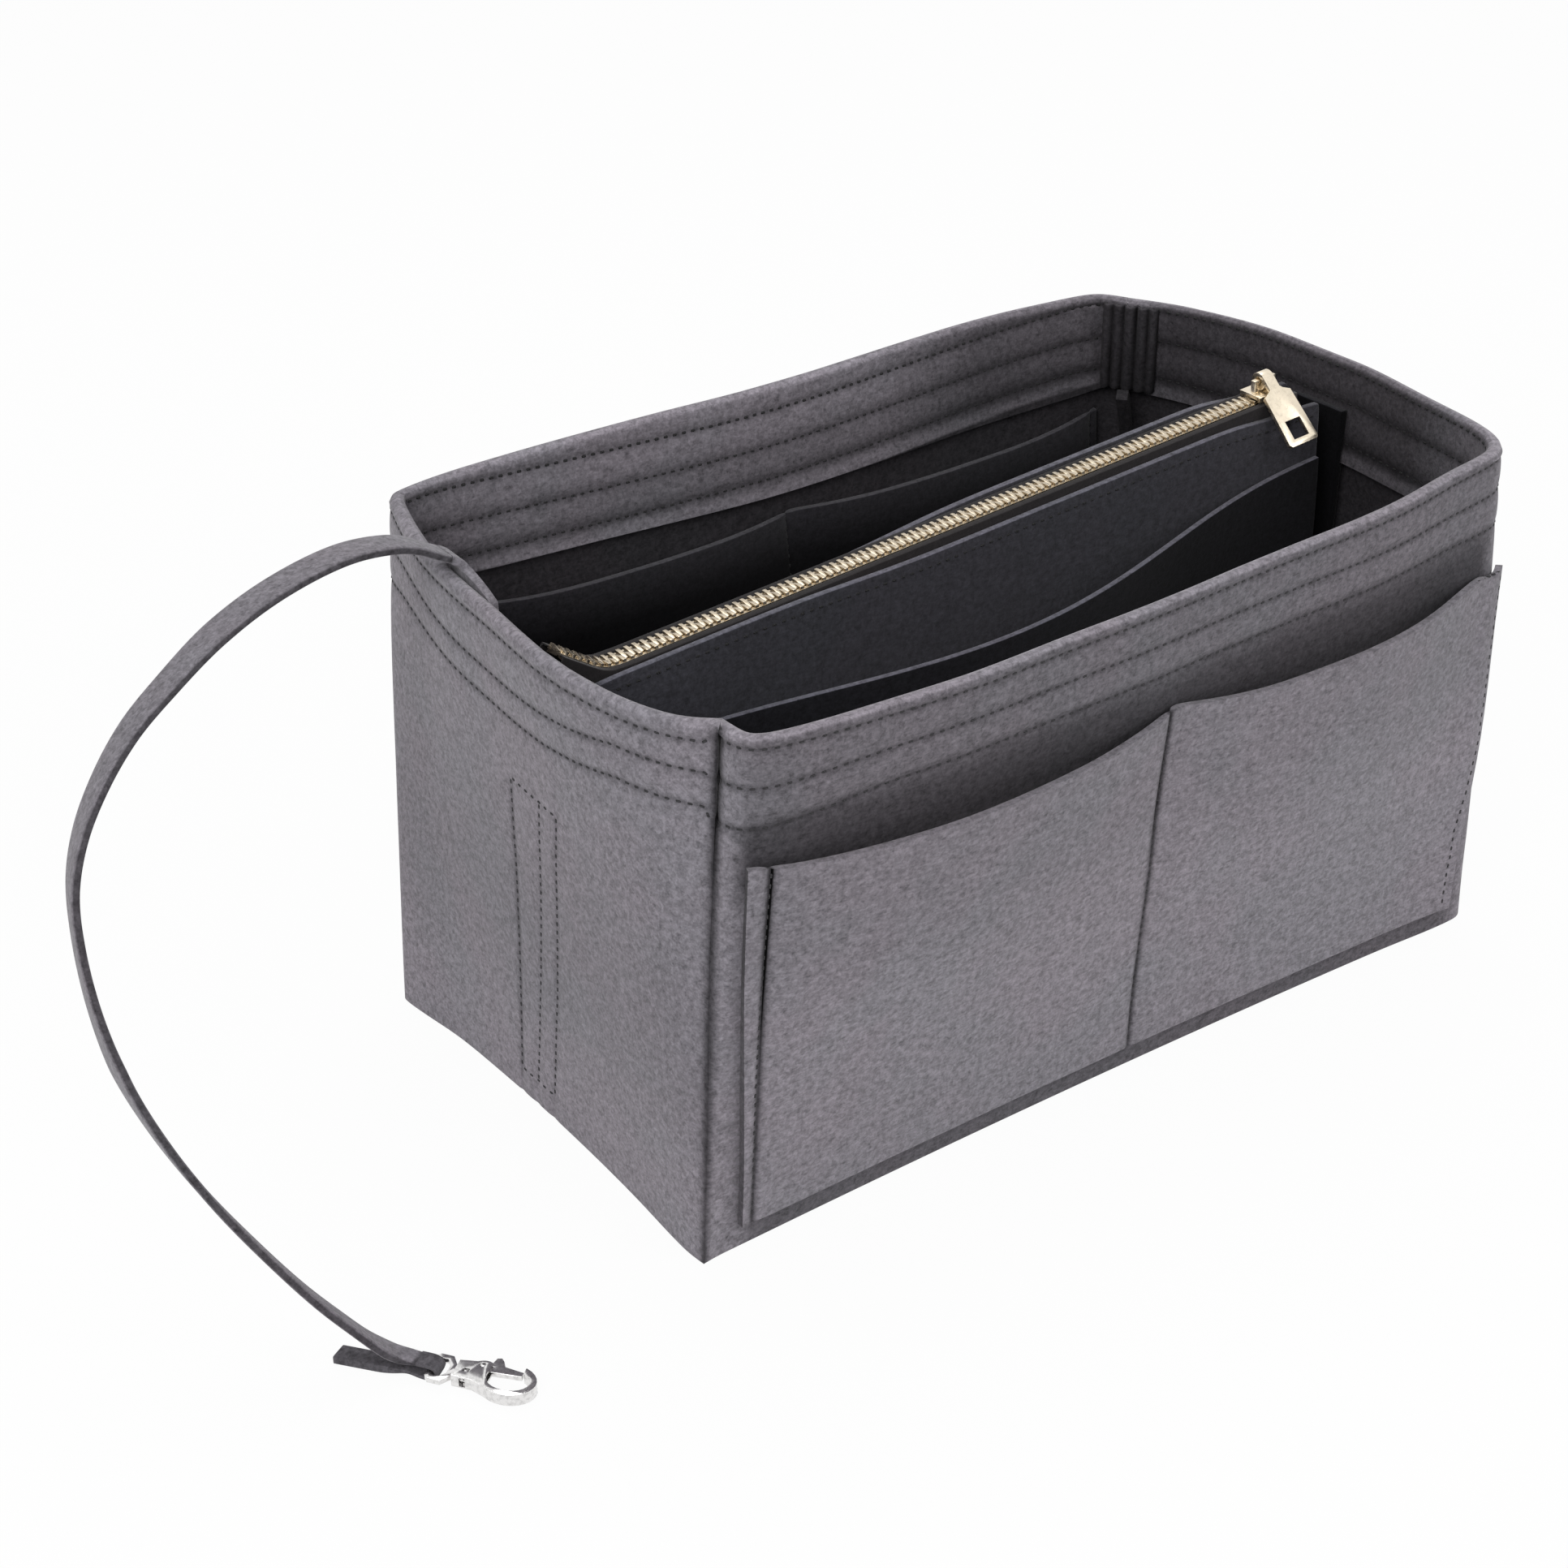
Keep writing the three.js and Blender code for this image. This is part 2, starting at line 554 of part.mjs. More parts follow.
// A point of the zip's centre line at a run from its right end; the tail bends up at the left.
function zipFrame(run) {
  const straight = teethEnd + zipTapePast - zipLeft;
  if (run <= straight) return { x: teethEnd + zipTapePast - run, z: 0, turn: 0 };
  const turn = Math.min((run - straight) / tailRadius, tailRise);
  const past = run - straight - turn * tailRadius;
  return {
    x: zipLeft - tailRadius * Math.sin(turn) - past * Math.cos(turn),
    z: tailRadius * (1 - Math.cos(turn)) + past * Math.sin(turn),
    turn,
  };
}
const zipPoint = (run, y, z) => {
  const frame = zipFrame(run);
  return new THREE.Vector3(frame.x + z * Math.sin(frame.turn), y, frame.z + z * Math.cos(frame.turn));
};
const straightRun = teethEnd - zipLeft;
const toothCount = Math.floor((straightRun + tailLength) / toothPitch);

// A row of teeth: stamped clamps on the tape's bead, each with a tapered head that meshes at the middle.
function toothRow(side) {
  const tooth = [[-toothTip, -toothTipHalf], [clampReach, -toothHalfHeight], [clampReach, toothHalfHeight],
    [beadInner - 0.9, toothHalfHeight], [-toothTip, toothTipHalf]];
  const bead = [[beadInner, -beadHalf], [beadOuter, -beadHalf], [beadOuter, beadHalf], [beadInner, beadHalf]];
  const shift = side > 0 ? toothPitch / 2 : 0;
  const sliceAt = (outline, run, thick) => loft([run, run + thick].map((r) => outline.map(
    ([y, z]) => zipPoint(r + zipTapePast, side * y, z))), outline);
  const beadRuns = [shift, straightRun, ...evenly(straightRun, toothCount * toothPitch, 5).slice(1)];
  const cord = loft(beadRuns.map((r) => bead.map(([y, z]) => zipPoint(r + zipTapePast, side * y, z))), bead);
  const teeth = Array.from({ length: toothCount },
    (_, i) => sliceAt(tooth, shift + i * toothPitch, toothThick));
  return fromManifold(wasm.Manifold.union([cord, ...teeth].map(toManifold)));
}
add('zip_teeth_front', toothRow(-1), gold, zip);
add('zip_teeth_back', toothRow(1), gold, zip);

function zipTape(side) {
  const half = zipTapeThick / 2;
  const turnDown = pouchHalfMouth - fit;
  const outline = [[zipTapeEdge, -half], [zipTapeEdge, half], [turnDown, half], [turnDown, -zipTapeDrop],
    [turnDown - zipTapeThick, -zipTapeDrop], [turnDown - zipTapeThick, -half]];
  const past = teethEnd + zipTapePast - zipLeft;
  const runs = [0, past, ...evenly(past, past + tailLength, 6).slice(1)];
  return loft(runs.map((r) => outline.map(([y, z]) => {
    const gather = r > past ? Math.min((r - past) / tailLength, 1) : 0;
    return zipPoint(r, side * y, z * (1 - 0.4 * gather));
  })), outline);
}
add('zip_tape_front', zipTape(-1), zipCloth, zip);
add('zip_tape_back', zipTape(1), zipCloth, zip);

const stopStart = postStart + 0.8;
const stopBlock = (side) => block(stopStart, stopStart + stopLength, side > 0 ? 1.7 : -beadOuter,
  side > 0 ? beadOuter : -1.7, -toothHalfHeight, toothHalfHeight);
add('zip_top_stop_front', stopBlock(-1), gold, zip);
add('zip_top_stop_back', stopBlock(1), gold, zip);

// The slider: two wings on a diamond post, side flanges round the teeth and a crown for the puller.
const slider = new THREE.Group();
slider.position.set(sliderX, 0, 0);
zip.add(slider);
function sliderBody() {
  const half = sliderLength / 2;
  const inner = toothHalfHeight + sliderClear;
  const outer = inner + sliderPlate;
  const wing = new THREE.Shape();
  wing.moveTo(-half, -sliderHalfWidth * 0.8);
  wing.lineTo(half - 2.6, -sliderHalfWidth);
  wing.quadraticCurveTo(half - 0.4, -sliderHalfWidth, half - 0.6, -1.6);
  wing.lineTo(half - 1.6, 0);
  wing.lineTo(half - 0.6, 1.6);
  wing.quadraticCurveTo(half - 0.4, sliderHalfWidth, half - 2.6, sliderHalfWidth);
  wing.lineTo(-half, sliderHalfWidth * 0.8);
  const postMiddle = half - postFromNose - postLength / 2;
  const diamond = shapeOf([[postMiddle - postLength / 2, 0], [postMiddle, -postHalfWidth],
    [postMiddle + postLength / 2, 0], [postMiddle, postHalfWidth]]);
  const channel = clampReach + sliderClear;
  const flange = (side, low, high) => block(-half + 0.2, half - 3, side > 0 ? channel : -sliderHalfWidth,
    side > 0 ? sliderHalfWidth : -channel, low, high);
  const crown = alongX(plate(shapeOf([[-crownBar / 2, crownHeight - crownBar / 2], [crownBar / 2,
    crownHeight - crownBar / 2], [crownBar / 2, crownHeight + crownBar / 2], [-crownBar / 2,
    crownHeight + crownBar / 2]]), -crownSpan / 2, crownSpan / 2));
  const leg = (side) => block(side > 0 ? crownSpan / 2 - crownBar : -crownSpan / 2,
    side > 0 ? crownSpan / 2 : -crownSpan / 2 + crownBar, -crownBar / 2, crownBar / 2, outer - 0.4,
    crownHeight + crownBar / 2);
  const wings = join(plate(wing, inner, outer), plate(diamond, -outer + 0.3, outer - 0.3),
    plate(wing, -outer, -inner));
  const flanges = join(flange(1, slotHalf, outer - 0.2), flange(-1, slotHalf, outer - 0.2),
    flange(1, -outer + 0.2, -slotHalf), flange(-1, -outer + 0.2, -slotHalf));
  return join(wings, flanges, crown, leg(1), leg(-1));
}
add('zip_slider', sliderBody(), gold, slider);

// The puller is one stamped strip: its neck is rolled round the crown's bar, its foot has a window.
const pullerPivot = new THREE.Group();
pullerPivot.position.set(0, 0, crownHeight);
pullerPivot.rotation.x = pullerDrop;
slider.add(pullerPivot);
function puller() {
  const outerEye = pullerEye + pullerThick;
  const ring = new THREE.Shape().absarc(0, 0, outerEye, 0, 2 * Math.PI, false);
  ring.holes.push(new THREE.Path().absarc(0, 0, pullerEye, 0, 2 * Math.PI, true));
  const eye = alongX(plate(ring, -pullerNeck / 2, pullerNeck / 2, 7));
  const neckEnd = -outerEye - pullerNeckLength;
  const foot = -pullerLength;
  const chamfer = 0.8;
  const rightSide = [[pullerFoot / 2 - chamfer, foot], [pullerFoot / 2, foot + chamfer],
    [pullerShoulder / 2, neckEnd], [pullerNeck / 2, neckEnd + 2 * chamfer], [pullerNeck / 2, 0]];
  const leftSide = rightSide.map(([x, y]) => [-x, y]).reverse();
  const strip = plate(shapeOf([...leftSide, ...rightSide]), pullerEye, outerEye);
  const windowFoot = foot + pullerFrame;
  const window = block(-pullerWindow / 2, pullerWindow / 2, windowFoot, windowFoot + pullerWindow,
    pullerEye - 1, outerEye + 1);
  const bore = alongX(plate(disc(pullerEye), -pullerNeck, pullerNeck, 7));
  return cut(join(eye, strip), window, bore);
}
add('zip_puller', puller(), gold, pullerPivot);

// A flat band along a route; its width stays near one level direction, square to the run.
const sideways = new THREE.Vector3(0, 1, 0);
function band(route, steps, widthAt, thickAt) {
  const curve = smoothCurve(route.map((p) => new THREE.Vector3(...p)));
  const outline = [[-1, -1], [1, -1], [1, 1], [-1, 1]];
  const sections = evenly(0, 1, steps).map((s) => {
    const centre = curve.getPointAt(s);
    const run = curve.getTangentAt(s);
    const across = sideways.clone().addScaledVector(run, -sideways.dot(run)).normalize();
    const up = new THREE.Vector3().crossVectors(run, across);
    return outline.map(([u, v]) => centre.clone().addScaledVector(across, u * widthAt(s) / 2)
      .addScaledVector(up, v * thickAt(s) / 2));
  });
  return loft(sections, outline);
}

// The strap's sewn foot lies on the inside of the left wall, wider than the strap, and turns over the rim.
const strapLie = 2 * felt + fit + strapFelt / 2;
const footLine = smoothCurve([
  [strapLie, -strapFootDepth], [strapLie, -strapFootDepth / 2], [strapLie, 0], [strapLie - 1.5, 2.8],
  [felt, strapArch],
].map(([depth, rise]) => new THREE.Vector3(depth, wallHeight + rise, 0)));
function strapFoot() {
  const high = strapY + strapWidth / 2;
  const face = (side) => (u, v) => {
    const centre = footLine.getPointAt(v);
    const run = footLine.getTangentAt(v);
    const width = strapFootWidth - (strapFootWidth - strapWidth) * ramp(0.55, 0.8, v);
    const half = side * strapFelt / 2;
    const y = high - width * u;
    const followed = THREE.MathUtils.lerp(y, strapY, ramp(0.5, 1, v));
    const point = wallA.offset(leftAtY(followed), centre.y - half * run.x, centre.x + half * run.y);
    return point.setY(point.y + y - followed);
  };
  return sheet(6, 9, face(-1), face(1));
}
add('strap_sewn_end', strapFoot(), felts.outer);

// The free strap arches out from the rim and comes down to the table.
const strapRoute = [
  [-145.6, 29.6, 164.15], [-147.4, 29.7, 165], [-150.2, 29.7, 166.6], [-154.5, 29.4, 169],
  [-160.5, 28.9, 171.2],
  [-175, 27.1, 173.2], [-195.8, 23.6, 171.1], [-214.5, 19.3, 166.1], [-230.8, 14.6, 158.8],
  [-243.2, 10.6, 152], [-253.9, 5.8, 143.6], [-262.2, 1, 134.4], [-267.6, -3.9, 124.6], [-270.2, -9.2, 112.6],
  [-271.2, -16.7, 96.9], [-269.7, -24, 81.8], [-265.2, -32, 66.4], [-258.4, -40.3, 50.9],
  [-250.4, -48.8, 36.6], [-242.4, -55.8, 24], [-235.4, -61, 14.8], [-230.4, -64.4, 8.8], [-227.2, -66.6, 6],
  [-225, -68.3, 4.85], [-223, -70.5, 4.55],
];
// Over its last stretch the strap is pared down to a tongue that passes through the clasp's eye.
const tongueShare = 0.035;
const tongue = (s) => smooth(Math.max(0, (s - 1 + tongueShare) / tongueShare));
const strapWide = (s) => strapWidth - (strapWidth - strapTip) * tongue(s);
const strapThick = (s) => strapFelt - (strapFelt - tongueFelt) * tongue(s);
add('key_strap', band(strapRoute, 74, strapWide, strapThick), felts.outer);

// The clasp lies on the table at the strap's end: u runs along it, v across it, w is up.
const clasp = new THREE.Group();
clasp.position.set(claspX, claspY, claspHeight);
clasp.rotation.z = claspAngle;
organiser.add(clasp);

function swivelEye() {
  const halfU = eyeInnerLength / 2 + eyeBar;
  const halfV = eyeInnerWidth / 2 + eyeBar;
  const ring = shapeOf([[-halfU, -halfV + 1], [-halfU + 1, -halfV], [halfU - 2, -halfV], [halfU, -2],
    [halfU, 2], [halfU - 2, halfV], [-halfU + 1, halfV], [-halfU, halfV - 1]]);
  const u = eyeInnerLength / 2;
  const v = eyeInnerWidth / 2;
  ring.holes.push(new THREE.Path([[-u, -v], [-u, v], [u - 1.4, v], [u, 1.6], [u, -1.6], [u - 1.4, -v]]
    .map(([x, y]) => new THREE.Vector2(x, y))));
  const stud = (from, to, radius) => alongX(plate(disc(radius), from, to, 5));
  const studEnd = collarStart + studLength;
  return join(plate(ring, -eyeBar / 2, eyeBar / 2), stud(halfU - 0.3, studEnd, studRadius),
    stud(studEnd - 1, studEnd, studHead));
}
add('clasp_swivel_eye', swivelEye(), nickel, clasp);

// The tongue goes over the eye's bar and back under the strap, where its tail lies on the table.
function strapEndFold() {
  const barU = -(eyeInnerLength + eyeBar) / 2;
  const turn = eyeBar * Math.SQRT1_2 + fit + tongueFelt / 2;
  const start = -6.4;
  const lie = strapFelt / 2 + strapLift - claspHeight;
  const diagonal = turn * Math.SQRT1_2;
  const route = [[start, 0, turn], [barU - 2, 0, turn], [barU, 0, turn], [barU + diagonal, 0, diagonal],
    [barU + turn, 0, 0], [barU + diagonal, 0, -diagonal], [barU, 0, -turn], [barU - 2.5, 0, -turn],
    [barU - 6, 0, lie], [-strapTail * 0.6, 0, lie], [-strapTail, 0, lie]];
  const opened = (s) => ramp(0.44, 0.64, s);
  return band(route, 26, (s) => strapTip + (strapWidth - strapTip) * opened(s),
    (s) => tongueFelt + (strapFelt - tongueFelt) * opened(s));
}
add('strap_end_fold', strapEndFold(), felts.outer, clasp);

const ellipse = (halfU, halfV) => new THREE.Shape()
  .absellipse(hookCentre, 0, halfU, halfV, 0, 2 * Math.PI, false);
function claspHook() {
  const half = claspThick / 2;
  const collarEnd = collarStart + collarLength;
  const outline = new THREE.Shape();
  outline.moveTo(collarStart, -collarHalfWidth);
  outline.lineTo(collarEnd, -collarHalfWidth);
  outline.lineTo(hookCentre - 2, -hookHalfWidth + 0.3);
  outline.lineTo(hookCentre - 2, 0);
  outline.lineTo(gatePinU + 2.4, gatePinV + 1.2);
  outline.quadraticCurveTo(gatePinU + 0.6, gatePinV + 2.2, gatePinU - 1.6, gatePinV + 0.8);
  outline.lineTo(collarStart, collarHalfWidth);
  const solid = join(plate(outline, -half, half),
    plate(ellipse(hookHalfLength, hookHalfWidth), -half, half, 14));
  const eye = plate(ellipse(hookHalfLength - hookBar, hookHalfWidth - hookBar), -half - 1, half + 1, 12);
  // The gate closes this stretch of the hook, and swings inwards between two cheeks at its pin.
  const mouthCut = block(gatePinU + 2.2, gateTipU, 0, hookHalfWidth + 2, -half - 1, half + 1);
  const cheekSlot = block(gatePinU - 1.9, gateTipU, gatePinV - 3.4, hookHalfWidth + 3, -gateThick / 2 - fit,
    gateThick / 2 + fit);
  const round = (radius, from, to) => alongX(plate(disc(radius), from, to, 5));
  const studEnd = collarStart + studLength;
  const studHole = round(studRadius + fit, collarStart - 1, studEnd);
  const headRoom = block(studEnd - 1 - fit, studEnd + fit, -collarHalfWidth - 1, studHead + fit,
    -studHead + 0.15, studHead - 0.15);
  const pinHole = moved(plate(disc(gatePinRadius + pinFit), -half - 1, half + 1, 6), gatePinU, gatePinV, 0);
  const headBore = round(studHead + fit, studEnd - 1 - fit, studEnd + fit);
  return cut(solid, eye, mouthCut, cheekSlot, studHole, headBore, headRoom, pinHole);
}
add('clasp_hook', claspHook(), nickel, clasp);

function claspGate() {
  const half = gateThick / 2;
  const dx = gateTipU - gatePinU;
  const dy = gateTipV - gatePinV;
  const outline = shapeOf([[-1.3, -0.9], [0, -1.3], [dx - 0.4, dy - gateBar], [dx + 0.6 - 1, dy], [5.2, 1.9],
    [4.2, thumbReach - 1], [3.2, thumbReach], [2, thumbReach - 0.4], [1.6, 1.9], [0.2, 1.4], [-1.1, 0.9]]);
  const hole = plate(disc(gatePinRadius + pinFit), -half - 1, half + 1, 6);
  return moved(cut(plate(outline, -half, half), hole), gatePinU, gatePinV, 0);
}
add('clasp_gate', claspGate(), nickel, clasp);
const gatePin = plate(disc(gatePinRadius), -claspThick / 2, claspThick / 2, 6);
add('clasp_gate_pin', moved(gatePin, gatePinU, gatePinV, 0), nickel, clasp);

// The origin is under the middle of the bag's own box, without the strap and its clasp.
const shellBox = new THREE.Box3();
const outermost = [backLeftWall, frontRightWall, frontOuterPocket, backOuterPocket];
outermost.forEach((mesh) => shellBox.expandByObject(mesh));
const middle = shellBox.getCenter(new THREE.Vector3());
organiser.position.set(-middle.x, -middle.y, 0);

export default organiser;
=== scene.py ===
import math
import bmesh
import bpy
from mathutils import Matrix, Vector, noise
from mathutils.bvhtree import BVHTree


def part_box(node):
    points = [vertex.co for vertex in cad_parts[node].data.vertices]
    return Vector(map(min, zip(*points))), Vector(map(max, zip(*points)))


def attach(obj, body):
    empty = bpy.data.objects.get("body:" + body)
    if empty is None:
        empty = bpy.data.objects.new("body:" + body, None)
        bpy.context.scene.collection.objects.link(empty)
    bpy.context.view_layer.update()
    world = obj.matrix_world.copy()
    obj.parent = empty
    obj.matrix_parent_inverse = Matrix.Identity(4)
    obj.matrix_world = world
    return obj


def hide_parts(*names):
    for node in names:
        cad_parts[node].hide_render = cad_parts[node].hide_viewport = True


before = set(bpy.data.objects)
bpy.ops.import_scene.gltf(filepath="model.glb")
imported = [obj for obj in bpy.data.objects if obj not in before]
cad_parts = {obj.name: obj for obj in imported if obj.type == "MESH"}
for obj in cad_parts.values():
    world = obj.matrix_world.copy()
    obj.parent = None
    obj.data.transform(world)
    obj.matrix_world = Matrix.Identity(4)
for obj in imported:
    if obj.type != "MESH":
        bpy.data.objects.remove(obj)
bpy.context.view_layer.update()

# The camera stands to the front left of the organiser and looks down into it.
# Its place, turn and focal length are those at which the photograph's corners, rim and strap fall
# where they do, on a frame of 1932 by 1932.
bag_middle = Vector((0.000353, 0.002702, 0))
camera_place = Vector((-0.46417, -0.56526, 0.47776)) + bag_middle
camera_azimuth = math.radians(-35.64)
camera_elevation = math.radians(29.76)
camera_roll = math.radians(-0.32)
backwards = Vector((math.sin(camera_azimuth) * math.cos(camera_elevation),
                    -math.cos(camera_azimuth) * math.cos(camera_elevation), math.sin(camera_elevation)))
level_right = Vector((math.cos(camera_azimuth), math.sin(camera_azimuth), 0))
level_up = backwards.cross(level_right)
right = level_right * math.cos(camera_roll) + level_up * math.sin(camera_roll)
up = backwards.cross(right)
lens = bpy.data.cameras.new("lens")
lens.sensor_width = 36
lens.lens = 3515.12 / 1932 * lens.sensor_width
lens.clip_start = 0.01
camera = bpy.data.objects.new("camera", lens)
camera_turn = Matrix((right, up, backwards)).transposed().to_4x4()
camera.matrix_world = Matrix.Translation(camera_place) @ camera_turn
bpy.context.collection.objects.link(camera)
bpy.context.scene.camera = camera

# The key strap is a strip of the same grey felt, 10 mm wide and cut with a blade.
# It leaves the rim of the left wall, arches out and down under its own weight, and turns on edge as it
# falls. Its last stretch is pared to a tongue that goes through the clasp's eye. Where it faces the front,
# mostly along its near cut edge, it carries painted shade.
strap_width = 0.010
strap_felt = 0.0021
strap_turn = 0.3
strap_turn_middle = 0.44
strap_turn_reach = 0.2
tongue_width = 0.005
tongue_felt = 0.0011
tongue_share = 0.035
strap_points = [
    (-145.6, 29.6, 164.15), (-147.4, 29.7, 165), (-150.2, 29.7, 166.6), (-154.5, 29.4, 169),
    (-160.5, 28.9, 171.2), (-175, 27.1, 173.2), (-195.8, 23.6, 171.1), (-214.5, 19.3, 166.1),
    (-230.8, 14.6, 158.8), (-243.2, 10.6, 152), (-253.9, 5.8, 143.6), (-262.2, 1, 134.4),
    (-267.6, -3.9, 124.6), (-270.2, -9.2, 112.6), (-271.2, -16.7, 96.9), (-269.7, -24, 81.8),
    (-265.2, -32, 66.4), (-258.4, -40.3, 50.9), (-250.4, -48.8, 36.6), (-242.4, -55.8, 24),
    (-235.4, -61, 14.8), (-230.4, -64.4, 8.8), (-227.2, -66.6, 6), (-225, -68.3, 4.85),
    (-223, -70.5, 4.55), (-222.3, -71.5, 4.5),
]


def smooth_line(points, spans):
    """Points spaced evenly on a smooth curve through the given ones."""
    ends = [2 * points[0] - points[1], *points, 2 * points[-1] - points[-2]]
    fine = []
    for before, start, stop, after in zip(ends, ends[1:], ends[2:], ends[3:]):
        legs = ((before, start), (start, stop), (stop, after))
        gaps = [max((b - a).length, 1e-6) ** 0.5 for a, b in legs]
        leaving = ((start - before) / gaps[0] - (stop - before) / (gaps[0] + gaps[1])
                   + (stop - start) / gaps[1]) * gaps[1]
        arriving = ((stop - start) / gaps[1] - (after - start) / (gaps[1] + gaps[2])
                    + (after - stop) / gaps[2]) * gaps[1]
        for step in range(12):
            t = step / 12
            fine.append(start * (2 * t**3 - 3 * t**2 + 1) + stop * (3 * t**2 - 2 * t**3)
                        + leaving * (t**3 - 2 * t**2 + t) + arriving * (t**3 - t**2))
    fine.append(points[-1])
    return spaced(fine, spans)


def spaced(line, spans):
    """The same line with its points at even distances."""
    reach = [0]
    for a, b in zip(line, line[1:]):
        reach.append(reach[-1] + (b - a).length)
    out = []
    at = 0
    for i in range(spans + 1):
        goal = reach[-1] * i / spans
        while at < len(line) - 2 and reach[at + 1] < goal:
            at += 1
        share = (goal - reach[at]) / max(reach[at + 1] - reach[at], 1e-9)
        out.append(line[at].lerp(line[at + 1], min(share, 1)))
    return out


def line_length(line):
    return sum((b - a).length for a, b in zip(line, line[1:]))


def felt_strip(name, line, width_at, thick_at, level_at):
    """A strip with softly rounded edges, swept along a line and kept near a level direction."""
    profile = [(-1, -0.55), (-0.93, -0.9), (-0.8, -1), (0.8, -1), (0.93, -0.9), (1, -0.55),
               (1, 0.55), (0.93, 0.9), (0.8, 1), (-0.8, 1), (-0.93, 0.9), (-1, 0.55)]
    mesh = bmesh.new()
    rings = []
    for i, place in enumerate(line):
        run = (line[min(i + 1, len(line) - 1)] - line[max(i - 1, 0)]).normalized()
        share = i / (len(line) - 1)
        level = level_at(share)
        across = (level - run * level.dot(run)).normalized()
        rise = run.cross(across)
        half_width, half_thick = width_at(share) / 2, thick_at(share) / 2
        rings.append([mesh.verts.new(place + across * u * half_width + rise * v * half_thick)
                      for u, v in profile])
    for a, b in zip(rings, rings[1:]):
        for i in range(len(profile)):
            j = (i + 1) % len(profile)
            mesh.faces.new((a[i], a[j], b[j], b[i]))
    mesh.faces.new(rings[0])
    mesh.faces.new(rings[-1])
    bmesh.ops.recalc_face_normals(mesh, faces=mesh.faces)
    data = bpy.data.meshes.new(name)
    mesh.to_mesh(data)
    mesh.free()
    piece = bpy.data.objects.new(name, data)
    bpy.context.collection.objects.link(piece)
    data.shade_smooth()
    return piece


def eased(value):
    value = min(max(value, 0), 1)
    return value * value * (3 - 2 * value)


def paint_light_and_shade(piece, shade_at):
    """Keeps a painted shade for every point: below 0 is painted shade, above 0 a painted highlight."""
    kept = piece.data.attributes.new("shade", "FLOAT", "POINT")
    for vertex in piece.data.vertices:
        kept.data[vertex.index].value = shade_at(vertex.co, vertex.normal)


def felt_finish(name, tone, fleck=1.0, lit=0.22):
    """Needle-felted grey wool and polyester: finely flecked, with soft cooler patches.

    The painted shade of a point, kept in the mesh, darkens creases and shaded faces and lightens lit edges.
    """
    finish = bpy.data.materials.new(name)
    finish.use_nodes = True
    nodes, links = finish.node_tree.nodes, finish.node_tree.links
    nodes.clear()
    out = nodes.new("ShaderNodeOutputMaterial")
    cloth = nodes.new("ShaderNodeBsdfPrincipled")
    cloth.inputs["Roughness"].default_value = 0.95
    cloth.inputs["Specular IOR Level"].default_value = 0.1
    cloth.inputs["Sheen Roughness"].default_value = 0.5
    links.new(cloth.outputs[0], out.inputs[0])
    place = nodes.new("ShaderNodeTexCoord")

    def cloudy(scale, detail, seed, stretch=(1, 1, 1), turn=(0, 0, 0)):
        lay = nodes.new("ShaderNodeMapping")
        lay.inputs["Location"].default_value = (seed, seed * 2, seed * 3)
        lay.inputs["Rotation"].default_value = turn
        lay.inputs["Scale"].default_value = [scale * k for k in stretch]
        cloud = nodes.new("ShaderNodeTexNoise")
        cloud.inputs["Scale"].default_value = 1
        cloud.inputs["Detail"].default_value = detail
        cloud.inputs["Roughness"].default_value = 0.6
        cloud.inputs["Distortion"].default_value = 0.4
        links.new(place.outputs["Object"], lay.inputs["Vector"])
        links.new(lay.outputs[0], cloud.inputs["Vector"])
        return cloud.outputs["Fac"]

    def figured(kind, a, b):
        knot = nodes.new("ShaderNodeMath")
        knot.operation = kind
        for socket, value in zip(knot.inputs, (a, b)):
            if isinstance(value, (int, float)):
                socket.default_value = value
            else:
                links.new(value, socket)
        return knot.outputs[0]

    fibres = figured("MAXIMUM", cloudy(260, 2, 1.3, (1, 5, 5), (0.3, 0.5, 0.8)),
                     cloudy(260, 2, 4.1, (1, 5, 5), (1.2, -0.7, 2.2)))
    grain = figured("ADD", figured("MULTIPLY", cloudy(560, 4, 2.2), 0.5),
                    figured("MULTIPLY", cloudy(1500, 2, 6.1), 0.25))
    grain = figured("ADD", grain, figured("MULTIPLY", fibres, 0.25))
    # The painted shade scales the colour, and where it darkens it also dims the sheen.
    shade = nodes.new("ShaderNodeAttribute")
    shade.attribute_name = "shade"
    light = figured("ADD", shade.outputs["Fac"], 1)
    links.new(figured("MULTIPLY", figured("MINIMUM", light, 1), lit), cloth.inputs["Sheen Weight"])
    flecks = figured("ADD", figured("MULTIPLY", figured("SUBTRACT", grain, 0.51), 3.6 * fleck), 1)
    level = figured("MULTIPLY", flecks, light)
    patches = nodes.new("ShaderNodeValToRGB")
    patches.color_ramp.elements[0].position = 0.42
    patches.color_ramp.elements[0].color = (*tone, 1)
    patches.color_ramp.elements[1].position = 0.6
    patches.color_ramp.elements[1].color = (tone[0] * 0.95, tone[1] * 0.99, tone[2] * 0.98, 1)
    links.new(cloudy(17, 3, 8.4), patches.inputs[0])
    toned = nodes.new("ShaderNodeVectorMath")
    toned.operation = "SCALE"
    links.new(patches.outputs[0], toned.inputs[0])
    links.new(level, toned.inputs["Scale"])
    links.new(toned.outputs[0], cloth.inputs["Base Color"])
    raised = nodes.new("ShaderNodeBump")
    raised.inputs["Strength"].default_value = 0.5
    raised.inputs["Distance"].default_value = 0.0005
    links.new(grain, raised.inputs["Height"])
    links.new(raised.outputs[0], cloth.inputs["Normal"])
    return finish


strap_grey = felt_finish("strap_felt", (0.2, 0.182, 0.205))
strap_route = [Vector(p) / 1000 + bag_middle for p in strap_points]
strap_line = smooth_line(strap_route, 260)


def tongue(share):
    return eased((share - 1 + tongue_share) / tongue_share)


